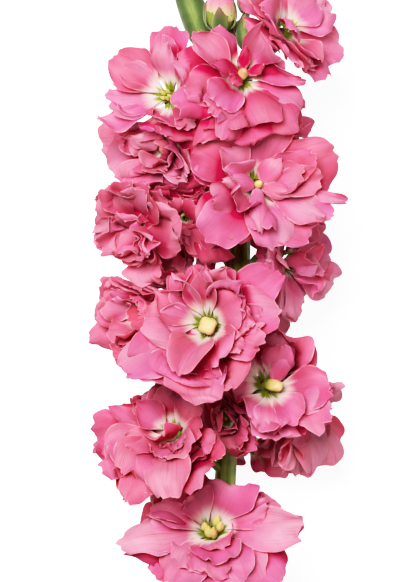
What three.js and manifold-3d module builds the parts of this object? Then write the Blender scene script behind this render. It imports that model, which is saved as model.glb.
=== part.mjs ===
// A cut stem of double-flowered stock, lying on a flat surface: a ridged green stem with a raceme of
// double pink blooms on short stalks, unopened buds at its tip and narrow leaves below.
//
// Lengths are in millimetres and angles in degrees. The stem runs along +Y from its cut end to its
// tip, +Z points up from the surface that it lies on, and the surface is at z = 0.
// "Round" is the angle about the stem: 0 points along +X, 90 straight up and 270 down to the surface.
import * as THREE from "three";
import { mergeVertices } from "three/addons/utils/BufferGeometryUtils.js";
import Module from "manifold-3d";

const wasm = await Module();
wasm.setup();

// The stem's middle line, from the cut end to the tip, and its radius there: [x, y, z, radius].
const STEM_LINE = [
  [1.5, -205, 2.75, 3.2],
  [3.2, -150, 8.6, 3.15],
  [4.3, -100, 15.2, 3.0],
  [4.6, -57, 20.6, 2.85],
  [8.6, 8, 27.2, 2.85],
  [7.6, 45, 30.2, 2.5],
  [5.2, 72, 32.0, 2.1],
  [3.2, 92, 33.0, 1.3],
];
const STEM_SIDES = 8;
const STEM_RIDGE = 0.05; // how far a ridge stands out, as a share of the radius

// Each bloom: its heart, the direction that it faces (its round, then how far it is raised towards the
// tip), how far it lies over its neighbours, and the reach of its longest petals. A bloom has either a
// number of petals, which a rule sets out from a first turn, or a list of them set by hand:
// [azimuth, length, width, opening] from the outermost in. Azimuth runs anticlockwise from +X as the
// bloom is looked at, and the opening is the tip's angle from the bloom's axis.
const BLOOMS = [
  {
    heart: [21.5, 71.2, 48], face: 48, rise: 26, over: 14, reach: 21,
    petals: [
      [203, 19, 15, 98], [152, 20, 15, 95], [350, 19, 14, 102], [305, 17, 13, 100], [100, 15, 12, 94],
      [45, 17, 13, 92], [255, 15, 12, 88], [15, 14, 11, 66],
    ],
  },
  {
    heart: [9.1, 57.8, 56], face: 80, rise: 18, over: 16, reach: 26,
    petals: [
      [237, 21, 10, 98], [325, 19, 13, 96], [172, 20, 12, 94], [22, 21.5, 13, 93],
      [197, 17, 12, 86], [5, 19.5, 10, 80], [263, 19.5, 10.5, 84], [233, 17.5, 9.5, 75],
      [294, 17.5, 10.5, 78], [150, 18, 10, 66], [55, 17, 14, 64],
    ],
  },
  {
    heart: [-11.1, 53, 46], face: 118, rise: 14, over: 6, reach: 21,
    petals: [
      [92, 20, 12, 102], [212, 20, 10, 98], [265, 15, 11, 104], [322, 16, 12, 94],
      [350, 14, 10, 86], [203, 16.5, 11, 86], [145, 18, 14, 82], [80, 14, 10, 66],
    ],
  },
  { heart: [-12, 39, 40], face: 118, rise: -8, over: 3, reach: 22, turn: 40, petals: 8 },
  {
    heart: [13.2, 28.3, 55], face: 78, rise: 10, over: 8, reach: 22,
    petals: [
      [19, 24, 16, 98], [57, 24.5, 16, 102], [312, 21.5, 15, 96], [218, 23, 17, 100],
      [146, 23, 14, 104], [122, 19, 13, 92], [335, 22.5, 10, 86], [245, 18, 12, 84],
      [200, 16.5, 11, 68], [30, 18, 11, 66], [165, 13, 12, 52], [265, 15, 9, 58],
    ],
  },
  {
    heart: [-18.5, 16.5, 39], face: 135, rise: -24, over: 13, reach: 21,
    petals: [
      [268, 20, 15, 98], [232, 18, 15, 100], [190, 18, 15, 102], [148, 17, 15, 104], [108, 17, 14, 102],
      [55, 17, 14, 102], [12, 17, 14, 102], [245, 13, 12, 68],
    ],
  },
  { heart: [-6.5, 21, 40], face: 112, rise: -16, over: 0, reach: 20, turn: 20, petals: 9 },
  {
    heart: [23, 8, 36], face: 34, rise: 2, over: 2, reach: 20,
    petals: [
      [180, 18, 14, 104], [350, 18, 15, 106], [222, 15, 14, 104], [300, 14, 13, 108], [30, 18, 14, 102],
      [130, 15, 13, 98], [335, 17, 13, 80], [62, 14, 12, 74],
    ],
  },
  {
    heart: [-0.3, -9.2, 51], face: 102, rise: 12, over: 11, reach: 24,
    petals: [
      [219, 27, 18, 102], [256, 27, 20, 98], [86, 20, 15, 98], [296, 23, 15, 96],
      [12, 21, 14, 90], [332, 22.5, 10, 85], [183, 18, 14, 80], [262, 18.5, 15, 80],
      [148, 17.5, 13, 70], [68, 16.5, 13, 68], [103, 16.5, 10, 58], [40, 18, 12, 54],
    ],
  },
  { heart: [-18.5, -7.5, 34], face: 136, rise: 2, over: 0, reach: 21, turn: 12, petals: 9 },
  { heart: [-7.5, 6, 24], face: 150, rise: 30, over: 0, reach: 19, turn: 25, petals: 7 },
  {
    heart: [16.6, -25.6, 44], face: 68, rise: 16, over: 6, reach: 22,
    petals: [
      [343, 22, 13, 100], [35, 20, 13, 102], [268, 15, 13, 98], [56, 19.5, 15, 92],
      [172, 16, 14, 92], [322, 20, 12, 88], [240, 14, 12, 80],
      [350, 17.5, 12, 76], [300, 13.5, 10, 66], [74, 11.5, 9, 48],
    ],
  },
  {
    heart: [25, -33.5, 30], face: 40, rise: -44, over: 0, reach: 21,
    petals: [
      [272, 21, 16, 100], [228, 19, 15, 100], [318, 21, 15, 98], [5, 15, 14, 108],
      [180, 17, 13, 100], [60, 13, 12, 90], [292, 14, 12, 64],
    ],
  },
  {
    heart: [-10.2, -38.5, 41], face: 112, rise: 26, over: 13, reach: 25,
    petals: [
      [300, 27, 16, 114], [235, 21, 14, 112], [180, 23, 14, 104], [335, 19, 13, 104],
      [205, 21, 14, 100], [150, 20, 14, 92], [270, 17, 13, 96], [118, 16, 13, 80],
      [80, 15, 11, 76], [310, 14, 11, 78],
    ],
  },
  { heart: [5, -35, 35], face: 96, rise: -8, over: 4, reach: 19, turn: 70, petals: 6 },
  {
    heart: [1.1, -65.4, 40], face: 92, rise: 36, over: 8, reach: 24,
    petals: [
      [188, 25, 15, 102], [6, 25.5, 15, 100], [328, 24, 16, 112], [258, 24, 18, 120],
      [92, 19, 15, 98], [146, 20, 17, 88], [38, 21, 15, 92], [222, 20, 14, 104],
      [252, 15, 16, 84], [62, 17, 16, 70], [128, 14, 13, 64],
    ],
  },
  { heart: [11.9, -43, 8.5], face: 305, rise: 6, over: 0, reach: 15, turn: 60, petals: 6 },
  { heart: [18.5, 46, 28], face: 14, rise: 8, over: 0, reach: 18, turn: 3, petals: 6 },
  { heart: [-7, 31, 12], face: 235, rise: 12, over: 0, reach: 22, turn: 27, petals: 6 },
  { heart: [19.5, 25, 13], face: 310, rise: 10, over: 0, reach: 22, turn: 55, petals: 6 },
  { heart: [4, -14, 8], face: 266, rise: 8, over: 0, reach: 21, turn: 14, petals: 7 },
  { heart: [-6, -61, 7.5], face: 240, rise: 14, over: 0, reach: 18, turn: 48, petals: 6 },
];

// The petals of a bloom from the outermost in, each a golden turn on from the one before. The pairs are
// the values for the outermost and the innermost petal. Lengths are shares of the bloom's reach, and
// widths shares of the petal's own length.
const GOLDEN_TURN = 137.5;
const PETAL = {
  rootRadius: [0.9, 2.2],
  rootHeight: [-3.3, -1.6],
  length: [1.0, 0.56],
  width: [0.8, 0.84],
  openTip: [110, 48],
};
const PETAL_THICKNESS = 0.7;
const CROWDING = { sectors: 24, least: 0.4, most: 1.2, step: 0.05, sweeps: 4 };
const EASE = 4; // the depth over which a petal flattens against a neighbour
const FLOOR_EASE = 1.5; // and against the surface
const NEIGHBOUR_GAP = 0.7; // from a petal's middle to the plane that it shares with a neighbour
const FLOOR_GAP = 0.15; // from a pressed petal's middle to the surface

const HUB = { radius: 2.9, top: -0.9, foot: -3.9 };
const CALYX = { foot: -13, throat: -4.3, radius: 2.7, lobe: 4.4 };
const HEART = { radius: 1.9, foot: -0.5, tip: 5.2 };
const PEDICEL_RADIUS = 0.95;
const PEDICEL_DROP = 13; // how far below its bloom a pedicel leaves the stem
const CLEARANCE = 0.35; // between two solids that touch in the real stem

// Unopened buds: [x, y, z] of the foot, lean from +Y towards +X, lean up, length, radius, whether its
// petals already show, and 1 for a slim foot.
const BUDS = [
  { name: "bud_1", foot: [3.4, 71.5, 42.5], lean: -2, up: 28, length: 11.5, radius: 4.4, open: true },
  { name: "bud_2", foot: [-0.9, 67.3, 38], lean: -19, up: 6, length: 27, radius: 3.7, open: true, slim: 1 },
  { name: "bud_3", foot: [6.2, 65, 38], lean: -2, up: 4, length: 7.5, radius: 1.8, open: false },
  { name: "bud_4", foot: [10.4, 66.5, 41], lean: -2, up: 4, length: 9.5, radius: 2.5, open: false },
  { name: "bud_5", foot: [10.6, 76.5, 38.5], lean: 3, up: 5, length: 10, radius: 2.8, open: false },
  { name: "bud_6", foot: [3.4, 86.5, 28.6], lean: 4, up: -12, length: 9.5, radius: 3.2, open: true },
  { name: "bud_7", foot: [7.6, 84.5, 33.5], lean: 16, up: 0, length: 9, radius: 2.7, open: false },
  { name: "bud_8", foot: [2.6, 91.5, 34.5], lean: -3, up: 6, length: 8.5, radius: 2.7, open: false },
  { name: "bud_9", foot: [6.4, 90.5, 37.5], lean: 8, up: 10, length: 7.5, radius: 2.3, open: false },
  { name: "bud_10", foot: [-1.5, 86.5, 31], lean: -20, up: -4, length: 8.5, radius: 2.5, open: false },
];

// Leaves: where each leaves the stem, its round, length and width, and how far it stands off the stem.
const LEAVES = [
  { name: "leaf_1", y: -176, round: 20, length: 62, width: 13, off: 34 },
  { name: "leaf_2", y: -166, round: 158, length: 66, width: 14, off: 36 },
  { name: "leaf_3", y: -154, round: 80, length: 56, width: 12.5, off: 30 },
  { name: "leaf_4", y: -142, round: -15, length: 52, width: 12, off: 38 },
  { name: "leaf_5", y: -133, round: 195, length: 47, width: 11, off: 40 },
  { name: "leaf_6", y: -122, round: 110, length: 36, width: 9, off: 30 },
];
const LEAF_THICKNESS = 0.8;

const radians = THREE.MathUtils.degToRad;
const vector = (x, y, z) => new THREE.Vector3(x, y, z);

/** A repeatable number from 0 to 1 for any seed. */
function draw(seed) {
  const s = Math.sin(seed * 12.9898 + 4.137) * 43758.5453;
  return s - Math.floor(s);
}

/** The same, from -1 to 1. */
const sway = (seed) => 2 * draw(seed) - 1;

/** Smooth step from 0 at a to 1 at b. */
function smooth(a, b, x) {
  const t = Math.min(1, Math.max(0, (x - a) / (b - a)));
  return t * t * (3 - 2 * t);
}

/** The stem's middle line and radius at height y, as a cubic through STEM_LINE: [point, radius]. */
function stemAt(y) {
  const last = STEM_LINE.length - 1;
  let i = 0;
  while (i < last - 1 && y > STEM_LINE[i + 1][1]) i++;
  const p = STEM_LINE[i];
  const q = STEM_LINE[i + 1];
  const before = STEM_LINE[Math.max(i - 1, 0)];
  const after = STEM_LINE[Math.min(i + 2, last)];
  const span = q[1] - p[1];
  const t = (y - p[1]) / span;
  const cubic = (k) => {
    const m0 = ((q[k] - before[k]) / (q[1] - before[1])) * span;
    const m1 = ((after[k] - p[k]) / (after[1] - p[1])) * span;
    const t2 = t * t;
    const t3 = t2 * t;
    return (2 * t3 - 3 * t2 + 1) * p[k] + (t3 - 2 * t2 + t) * m0 + (3 * t2 - 2 * t3) * q[k] + (t3 - t2) * m1;
  };
  return [vector(cubic(0), y, cubic(2)), cubic(3)];
}

/** The unit direction at a given round, square to the stem. */
const outward = (round) => vector(Math.cos(radians(round)), 0, Math.sin(radians(round)));

/** Adds the name, heart, axis and side directions of a bloom to its row. */
function placeBloom(row, index) {
  const heart = vector(...row.heart);
  const axis = outward(row.face)
    .multiplyScalar(Math.cos(radians(row.rise)))
    .addScaledVector(vector(0, 1, 0), Math.sin(radians(row.rise)));
  const up = vector(0, 1, 0).addScaledVector(axis, -axis.y).normalize();
  const right = up.clone().cross(axis);
  const name = `bloom_${String(index + 1).padStart(2, "0")}`;
  return { ...row, name, index, heart, axis, up, right };
}

const blooms = BLOOMS.map(placeBloom);

/** The planes that part a bloom from its neighbours: {normal, limit}, with the bloom below the limit. */
function cellOf(bloom) {
  const planes = [];
  for (const other of blooms) {
    const between = other.heart.clone().sub(bloom.heart);
    if (other === bloom || between.length() > 60) continue;
    const leaning = other.axis.clone().sub(bloom.axis).multiplyScalar(2);
    const normal = between.clone().add(leaning).add(vector(0, 0, other.over - bloom.over)).normalize();
    const share = bloom.reach / (bloom.reach + other.reach);
    planes.push({ normal, limit: bloom.heart.dot(normal) + between.dot(normal) * share });
  }
  return planes;
}

const cells = blooms.map(cellOf);

/** A depth past a limit, eased so that it never passes it. */
const ease = (over, depth = EASE) => (over <= -depth ? over : -depth * Math.exp(-(over + depth) / depth));

/** A petal's point, pressed back from its neighbours, the stem and the surface. */
function settle(point, bloom) {
  const p = point.clone();
  for (let pass = 0; pass < 2; pass++) {
    for (const { normal, limit } of cells[bloom.index]) {
      const over = p.dot(normal) - limit + NEIGHBOUR_GAP;
      p.addScaledVector(normal, ease(over) - over);
    }
  }
  const [middle, radius] = stemAt(p.y);
  const away = vector(p.x - middle.x, 0, p.z - middle.z);
  const gap = away.length() - radius - 1;
  p.addScaledVector(away.normalize(), -ease(-gap) - gap);
  p.z = FLOOR_GAP - ease(FLOOR_GAP - p.z, FLOOR_EASE);
  return p;
}

/** How far a point is past its bloom's own space or the surface. */
function trespass(point, bloom) {
  let worst = -point.z;
  for (const { normal, limit } of cells[bloom.index]) {
    worst = Math.max(worst, point.dot(normal) - limit);
  }
  return worst;
}

/** The rows of a bloom's petals, outermost first: the bloom's own list, or one made by the rule. */
function petalRows(bloom) {
  if (Array.isArray(bloom.petals)) return bloom.petals;
  return Array.from({ length: bloom.petals }, (_, k) => {
    const between = ([outer, inner], power = 1) => outer + (inner - outer) * (k / (bloom.petals - 1)) ** power;
    const seed = bloom.index * 37 + k + 0.5;
    const length = bloom.reach * between(PETAL.length, 1.3) * (1 + 0.08 * sway(seed));
    return [
      bloom.turn + GOLDEN_TURN * k + 10 * sway(seed + 0.1),
      length,
      length * between(PETAL.width) * (1 + 0.1 * sway(seed + 0.2)),
      between(PETAL.openTip) + 4 * sway(seed + 0.3),
    ];
  });
}

/** The petals of a bloom. Each has its own seeded set and waves, and crowded ones are bent together. */
function petalsOf(bloom) {
  const rows = petalRows(bloom);
  const crowding = crowdingOf(bloom, rows);
  return rows.map(([azimuth, length, width, open], k) => {
    const between = ([outer, inner]) => outer + ((inner - outer) * k) / (rows.length - 1);
    const seed = bloom.index * 37 + k + 1;
    const bent = open * crowding(azimuth);
    return {
      root: [between(PETAL.rootRadius), between(PETAL.rootHeight)],
      azimuth,
      length,
      width,
      open: [0.62 * bent + 4, bent],
      cup: [70 - 0.52 * open, 78 - 0.88 * open + 12 * sway(seed + 0.5)],
      twist: 9 * sway(seed + 0.6),
      side: 0.08 * sway(seed + 0.7),
      wave: 0.8,
      phase: draw(seed + 0.8),
    };
  });
}

/** Where a bloom is crowded, its petals open less or more. This gives their scale at an azimuth. */
function crowdingOf(bloom, rows) {
  const { sectors, least, most, step, sweeps } = CROWDING;
  const length = Math.max(...rows.map((row) => row[1])) * 0.95;
  const open = Math.max(...rows.map((row) => row[3])) * 0.95;
  const petal = { root: [1, -3], length, width: 1, cup: [1, 1], twist: 0, side: 0, wave: 0, phase: 0 };
  const options = [];
  for (let scale = least; scale <= most + 1e-6; scale += step) options.push(scale);
  const strain = Array.from({ length: sectors }, (_, k) =>
    options.map((scale) => {
      const bent = { ...petal, azimuth: (360 * k) / sectors, open: [0.62 * open * scale + 4, open * scale] };
      const worst = Math.max(...[0.75, 1].map((v) => trespass(petalPoint(bent, bloom, 0, v), bloom)));
      return 0.1 * Math.max(0, worst) + 0.5 * Math.abs(scale - 1);
    }),
  );
  let chosen = new Array(sectors).fill(1);
  for (let sweep = 0; sweep < sweeps; sweep++) {
    chosen = chosen.map((_, k) => {
      const sides = [chosen[(k + 1) % sectors], chosen[(k + sectors - 1) % sectors]];
      const costs = options.map((scale, i) => strain[k][i] + sides.reduce((sum, side) => sum + Math.abs(scale - side), 0));
      return options[costs.indexOf(Math.min(...costs))];
    });
  }
  return (azimuth) => {
    const place = ((((azimuth / 360) % 1) + 1) % 1) * sectors;
    const k = Math.floor(place);
    return chosen[k] + (place - k) * (chosen[(k + 1) % sectors] - chosen[k]);
  };
}

/** The half width of a petal, as a share of its widest, at a share v of its length. */
function petalOutline(v) {
  const claw = 0.1 + 0.9 * smooth(0, 0.62, v);
  const fall = Math.max(0, (v - 0.62) / 0.38);
  return claw * (1 - 0.42 * fall * fall);
}

/** A point of a petal's middle surface before it is settled: u runs across from -1 to 1, v along. */
function petalPoint(petal, bloom, u, v) {
  const reach = v * (1 - 0.1 * u * u * v * v);
  const start = radians(petal.open[0]);
  const bend = radians(petal.open[1] - petal.open[0]);
  const angle = start + bend * reach;
  const arc = petal.length / (Math.abs(bend) < 1e-3 ? 1e-3 : bend);
  const radial = petal.root[0] + arc * (Math.cos(start) - Math.cos(start + bend * reach));
  const axial = petal.root[1] + arc * (Math.sin(start + bend * reach) - Math.sin(start));
  const half = (petal.width / 2) * petalOutline(v);
  const cup = radians(petal.cup[0] + (petal.cup[1] - petal.cup[0]) * v) || 1e-3;
  const ripple =
    petal.wave * (u * u * Math.sin(6.283 * (1.4 * v + petal.phase) + 2 * Math.sign(u)) * v +
      0.6 * smooth(0.5, 1, v) * Math.sin(3.4 * u + 6.283 * petal.phase));
  const across = (half * Math.sin(cup * u)) / cup;
  const raise = (half * (1 - Math.cos(cup * u))) / cup + ripple;
  const turn = radians(petal.twist) * v;
  const tangential = across * Math.cos(turn) - raise * Math.sin(turn) + petal.side * petal.length * v * v;
  const normal = across * Math.sin(turn) + raise * Math.cos(turn);
  const azimuth = radians(petal.azimuth);
  const out = bloom.right.clone().multiplyScalar(Math.cos(azimuth)).addScaledVector(bloom.up, Math.sin(azimuth));
  const round = bloom.axis.clone().cross(out);
  return bloom.heart
    .clone()
    .addScaledVector(out, radial - normal * Math.cos(angle))
    .addScaledVector(bloom.axis, axial + normal * Math.sin(angle))
    .addScaledVector(round, tangential);
}

/** A manifold-3d solid from a list of points and a list of triangles. */
function solidFrom(points, triangles) {
  const geometry = new THREE.BufferGeometry();
  geometry.setAttribute("position", new THREE.Float32BufferAttribute(points.flatMap((p) => [p.x, p.y, p.z]), 3));
  geometry.setIndex(triangles.flat());
  const merged = mergeVertices(geometry, 1e-4);
  return new wasm.Manifold(
    new wasm.Mesh({
      numProp: 3,
      vertProperties: merged.attributes.position.array,
      triVerts: new Uint32Array(merged.index.array),
    }),
  );
}

/**
 * A blade of even thickness about a surface that starts at one root point and goes on in rows of points
 * from side to side. It is split into triangles alike on both faces.
 */
function bladeSolid(root, rows, thickness) {
  const high = rows.length;
  const wide = rows[0].length;
  const at = (r, c) => (r < 0 ? root : rows[Math.min(high - 1, r)][Math.min(wide - 1, Math.max(0, c))]);
  const normalAt = (r, c) => {
    const across = at(r, c + 1).clone().sub(at(r, c - 1));
    const along = at(r + 1, c).clone().sub(at(r - 1, c));
    return across.cross(along).normalize();
  };
  const points = [];
  for (const face of [1, -1]) {
    points.push(root.clone().addScaledVector(normalAt(0, Math.floor((wide - 1) / 2)), (face * thickness) / 2));
    for (let r = 0; r < high; r++) {
      for (let c = 0; c < wide; c++) {
        points.push(at(r, c).clone().addScaledVector(normalAt(r, c), (face * thickness) / 2));
      }
    }
  }
  const count = 1 + high * wide;
  const top = (r, c) => (r < 0 ? 0 : 1 + r * wide + c);
  const faces = [];
  for (let c = 0; c < wide - 1; c++) faces.push([top(-1), top(0, c + 1), top(0, c)]);
  for (let r = 0; r < high - 1; r++) {
    for (let c = 0; c < wide - 1; c++) {
      faces.push([top(r, c), top(r, c + 1), top(r + 1, c + 1)], [top(r, c), top(r + 1, c + 1), top(r + 1, c)]);
    }
  }
  const edge = [top(-1)];
  for (let r = 0; r < high; r++) edge.push(top(r, wide - 1));
  for (let c = wide - 2; c >= 0; c--) edge.push(top(high - 1, c));
  for (let r = high - 2; r >= 0; r--) edge.push(top(r, 0));
  const triangles = faces.flatMap(([a, b, c]) => [[a, b, c], [a + count, c + count, b + count]]);
  edge.forEach((a, k) => {
    const b = edge[(k + 1) % edge.length];
    triangles.push([a, a + count, b + count], [a, b + count, b]);
  });
  return solidFrom(points, triangles);
}

/** A solid lofted through rings of points, closed at both ends. Rings run the right-hand way round. */
function loftSolid(rings) {
  const sides = rings[0].length;
  const points = rings.flat();
  const triangles = [];
  for (let r = 0; r < rings.length - 1; r++) {
    for (let c = 0; c < sides; c++) {
      const a = r * sides + c;
      const b = r * sides + ((c + 1) % sides);
      triangles.push([a, b, b + sides], [a, b + sides, a + sides]);
    }
  }
  const centre = (ring) => ring.reduce((sum, p) => sum.add(p), vector(0, 0, 0)).divideScalar(ring.length);
  const foot = points.push(centre(rings[0])) - 1;
  const tip = points.push(centre(rings.at(-1))) - 1;
  const last = (rings.length - 1) * sides;
  for (let c = 0; c < sides; c++) {
    const d = (c + 1) % sides;
    triangles.push([foot, d, c], [tip, last + c, last + d]);
  }
  return solidFrom(points, triangles);
}

/** A ring of points about a centre, square to an axis. The radius may depend on the corner. */
function ringAbout(centre, axis, sideways, radius, sides) {
  const other = axis.clone().cross(sideways);
  return Array.from({ length: sides }, (_, k) => {
    const angle = (2 * Math.PI * k) / sides;
    const r = typeof radius === "function" ? radius(k) : radius;
    return centre.clone().addScaledVector(sideways, r * Math.cos(angle)).addScaledVector(other, r * Math.sin(angle));
  });
}

/** A turned solid about an axis: profile rows are [height along the axis, radius]. */
function turnedSolid(foot, axis, sideways, profile, sides) {
  return loftSolid(profile.map(([h, r]) => ringAbout(foot.clone().addScaledVector(axis, h), axis, sideways, r, sides)));
}

/** The cubic that a pedicel follows from the stem to a foot that points along an axis. */
function pedicelLine(attach, foot, axis) {
  const start = stemAt(attach)[0];
  const reach = start.distanceTo(foot);
  const bow = foot.clone().sub(start).setY(0).normalize().multiplyScalar(0.6).add(vector(0, 0.8, 0));
  return new THREE.CubicBezierCurve3(
    start,
    start.clone().addScaledVector(bow, reach * 0.35),
    foot.clone().addScaledVector(axis, -reach * 0.35),
    foot,
  );
}

/** A pedicel with the calyx, or a bud's green cup, at its end. rows: [height along axis, radius(k)]. */
function stalkSolid(attach, foot, axis, sideways, radius, rows, fat) {
  const line = pedicelLine(attach, foot, axis);
  const sides = 6;
  const rings = [0.06, 0.55].map((t) => {
    const way = line.getTangent(t);
    const side = sideways.clone().addScaledVector(way, -sideways.dot(way)).normalize();
    return ringAbout(line.getPoint(t), way, side, radius + fat, sides);
  });
  for (const [h, r] of rows) {
    const swell = (k) => (typeof r === "function" ? r(k) : r) + fat;
    rings.push(ringAbout(foot.clone().addScaledVector(axis, h), axis, sideways, swell, sides));
  }
  return loftSolid(rings);
}

/** The pedicel and calyx of a bloom, grown by fat all over. */
function bloomStalk(bloom, fat = 0) {
  const foot = bloom.heart.clone().addScaledVector(bloom.axis, CALYX.foot);
  const deep = CALYX.throat - CALYX.foot;
  const lobes = (k) => (k % 2 ? CALYX.radius : CALYX.lobe);
  const rows = [
    [0, PEDICEL_RADIUS * 1.3],
    [deep * 0.4, CALYX.radius],
    [deep + fat, lobes],
  ];
  return stalkSolid(bloom.heart.y - PEDICEL_DROP, foot, bloom.axis, bloom.right, PEDICEL_RADIUS, rows, fat);
}

/** A bud's place: its foot, axis and a direction square to it. */
function placeBud(bud) {
  const lean = radians(bud.lean);
  const up = radians(bud.up);
  const axis = vector(Math.sin(lean) * Math.cos(up), Math.cos(lean) * Math.cos(up), Math.sin(up));
  const sideways = vector(0, 0, 1).addScaledVector(axis, -axis.z).normalize();
  return { foot: vector(...bud.foot), axis, sideways };
}

/** A bud's stalk and green sepals. An open bud's sepals stop short of its tip. */
function budStalk(bud, fat = 0) {
  const { foot, axis, sideways } = placeBud(bud);
  const { length, radius, open } = bud;
  const slim = 1 - 0.3 * (bud.slim ?? 0);
  const rows = [
    [0, radius * 0.5 * slim],
    [length * 0.26, radius * slim],
  ];
  if (open) rows.push([length * 0.56 + fat, radius * 0.99]);
  else rows.push([length * 0.7, radius * 0.84], [length + fat, radius * 0.14]);
  const attach = Math.min(foot.y - 6, 88);
  return stalkSolid(attach, foot, axis, sideways, Math.min(0.95, radius * 0.34), rows, fat);
}

/** The petals that show at the tip of an opening bud, grown by fat all over. */
function budPetals(bud, fat = 0) {
  const { foot, axis, sideways } = placeBud(bud);
  const { length, radius } = bud;
  const start = length * 0.56 + CLEARANCE - fat;
  const folds = (share) => (k) => radius * share * (k % 2 ? 1 : 0.88) + fat;
  const profile = [
    [start, 0.96],
    [length * 0.74, 0.97],
    [length * 0.93, 0.55],
    [length + fat, 0.12],
  ];
  return loftSolid(
    profile.map(([h, share]) => ringAbout(foot.clone().addScaledVector(axis, h), axis, sideways, folds(share), 8)),
  );
}

/** The main stem as a ridged tube from the cut end to the tip, grown by fat. */
function stemSolid(fat = 0) {
  const heights = [];
  for (let y = STEM_LINE[0][1]; y < STEM_LINE.at(-1)[1]; y += 30) heights.push(y);
  heights.push(STEM_LINE.at(-1)[1]);
  const rings = heights.map((y) => {
    const [middle, radius] = stemAt(y);
    const ahead = stemAt(Math.min(y + 1, STEM_LINE.at(-1)[1]))[0];
    const behind = stemAt(Math.max(y - 1, STEM_LINE[0][1]))[0];
    const way = ahead.sub(behind).normalize();
    const side = vector(1, 0, 0).addScaledVector(way, -way.x).normalize();
    const ridge = (k) => (radius + fat) * (1 + (k % 2 ? STEM_RIDGE : -STEM_RIDGE));
    return ringAbout(middle, way, side, ridge, STEM_SIDES);
  });
  return loftSolid(rings);
}

/** A bloom's heart: a bud of unopened petals, folded into four ridges. */
function heartSolid(bloom, fat = 0) {
  const { radius, foot, tip } = HEART;
  const folds = (share) => (k) => (radius + fat) * share * (k % 2 ? 0.8 : 1);
  return turnedSolid(
    bloom.heart,
    bloom.axis,
    bloom.right,
    [
      [foot - fat, folds(0.8)],
      [tip * 0.5, folds(1)],
      [tip + fat, folds(0.35)],
    ],
    6,
  );
}

/** The stem, stalks and buds, grown by the clearance, that a bloom's petals are cut back from. */
const keptClear = [
  stemSolid(CLEARANCE),
  ...blooms.map((bloom) => bloomStalk(bloom, CLEARANCE)),
  ...BUDS.map((bud) => budStalk(bud, CLEARANCE)),
  ...BUDS.filter(({ open }) => open).map((bud) => budPetals(bud, CLEARANCE)),
];

/** The largest of a solid's separate bodies. */
function mainBody(solid) {
  return solid.decompose().sort((a, b) => b.volume() - a.volume())[0];
}

/** A block that fills everything past a plane, out to a distance beyond the part. */
function blockPast(point, normal) {
  const size = 500;
  const box = new THREE.BoxGeometry(size, size, size).translate(0, 0, size / 2);
  box.deleteAttribute("normal");
  box.deleteAttribute("uv");
  const turn = new THREE.Quaternion().setFromUnitVectors(vector(0, 0, 1), normal);
  box.applyQuaternion(turn).translate(point.x, point.y, point.z);
  const merged = mergeVertices(box, 1e-4);
  return new wasm.Manifold(
    new wasm.Mesh({
      numProp: 3,
      vertProperties: merged.attributes.position.array,
      triVerts: new Uint32Array(merged.index.array),
    }),
  );
}

const belowSurface = blockPast(vector(0, 0, 0), vector(0, 0, -1));

const LONG_PETAL = 12.5;
const OUTER_GRID = { across: [-1, 0, 1], along: [0.4, 0.72, 1] };
const INNER_GRID = { across: [-1, 1], along: [0.55, 1] };

/** All petals of a bloom joined at its hub, clear of everything else. */
function petalsSolid(bloom) {
  let solid = turnedSolid(
    bloom.heart,
    bloom.axis,
    bloom.right,
    [
      [HUB.foot, HUB.radius * 0.85],
      [HUB.top, HUB.radius],
    ],
    7,
  );
  petalsOf(bloom).forEach((petal) => {
    const grid = petal.length > LONG_PETAL ? OUTER_GRID : INNER_GRID;
    const at = (u, v) => settle(petalPoint(petal, bloom, u, v), bloom);
    const rows = grid.along.map((v) => grid.across.map((u) => at(u, v)));
    solid = solid.add(bladeSolid(at(0, 0), rows, PETAL_THICKNESS));
  });
  for (const { normal, limit } of cells[bloom.index]) {
    const edge = limit - CLEARANCE / 2;
    const past = blockPast(normal.clone().multiplyScalar(edge - bloom.heart.dot(normal)).add(bloom.heart), normal);
    if (solid.intersect(past).volume() > 1e-6) solid = solid.subtract(past);
  }
  for (const part of [...keptClear, heartSolid(bloom, CLEARANCE)]) {
    if (solid.intersect(part).volume() > 1e-6) solid = solid.subtract(part);
  }
  return mainBody(solid.subtract(belowSurface));
}

/** A leaf blade that leaves the stem, arches over and droops to the surface. */
function leafSolid(leaf) {
  const [middle, radius] = stemAt(leaf.y);
  const away = outward(leaf.round);
  const side = vector(0, 1, 0).cross(away);
  const surface = (v, us) => {
    const angle = radians(leaf.off + 26 * v);
    const start = radians(leaf.off);
    const arc = leaf.length / radians(26);
    const out = radius + CLEARANCE + LEAF_THICKNESS / 2 + arc * (Math.cos(start) - Math.cos(angle));
    const up = arc * (Math.sin(angle) - Math.sin(start));
    const half = (leaf.width / 2) * (0.22 + 0.78 * smooth(0, 0.45, v)) * (1 - 0.86 * Math.max(0, (v - 0.5) / 0.5) ** 2);
    return us.map((u) => {
      const lift = 0.16 * half * Math.abs(u) + 0.9 * u * v * Math.sin(9 * v + leaf.round);
      const p = middle
        .clone()
        .addScaledVector(away, out - lift * Math.cos(angle))
        .addScaledVector(vector(0, 1, 0), up + lift * Math.sin(angle))
        .addScaledVector(side, u * half);
      p.z = LEAF_THICKNESS / 2 + 0.1 - ease(LEAF_THICKNESS / 2 + 0.1 - p.z);
      return p;
    });
  };
  const rows = [0.1, 0.3, 0.5, 0.7, 0.87, 1].map((v) => surface(v, [-1, 0, 1]));
  return bladeSolid(surface(0, [0])[0], rows, LEAF_THICKNESS);
}

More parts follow.
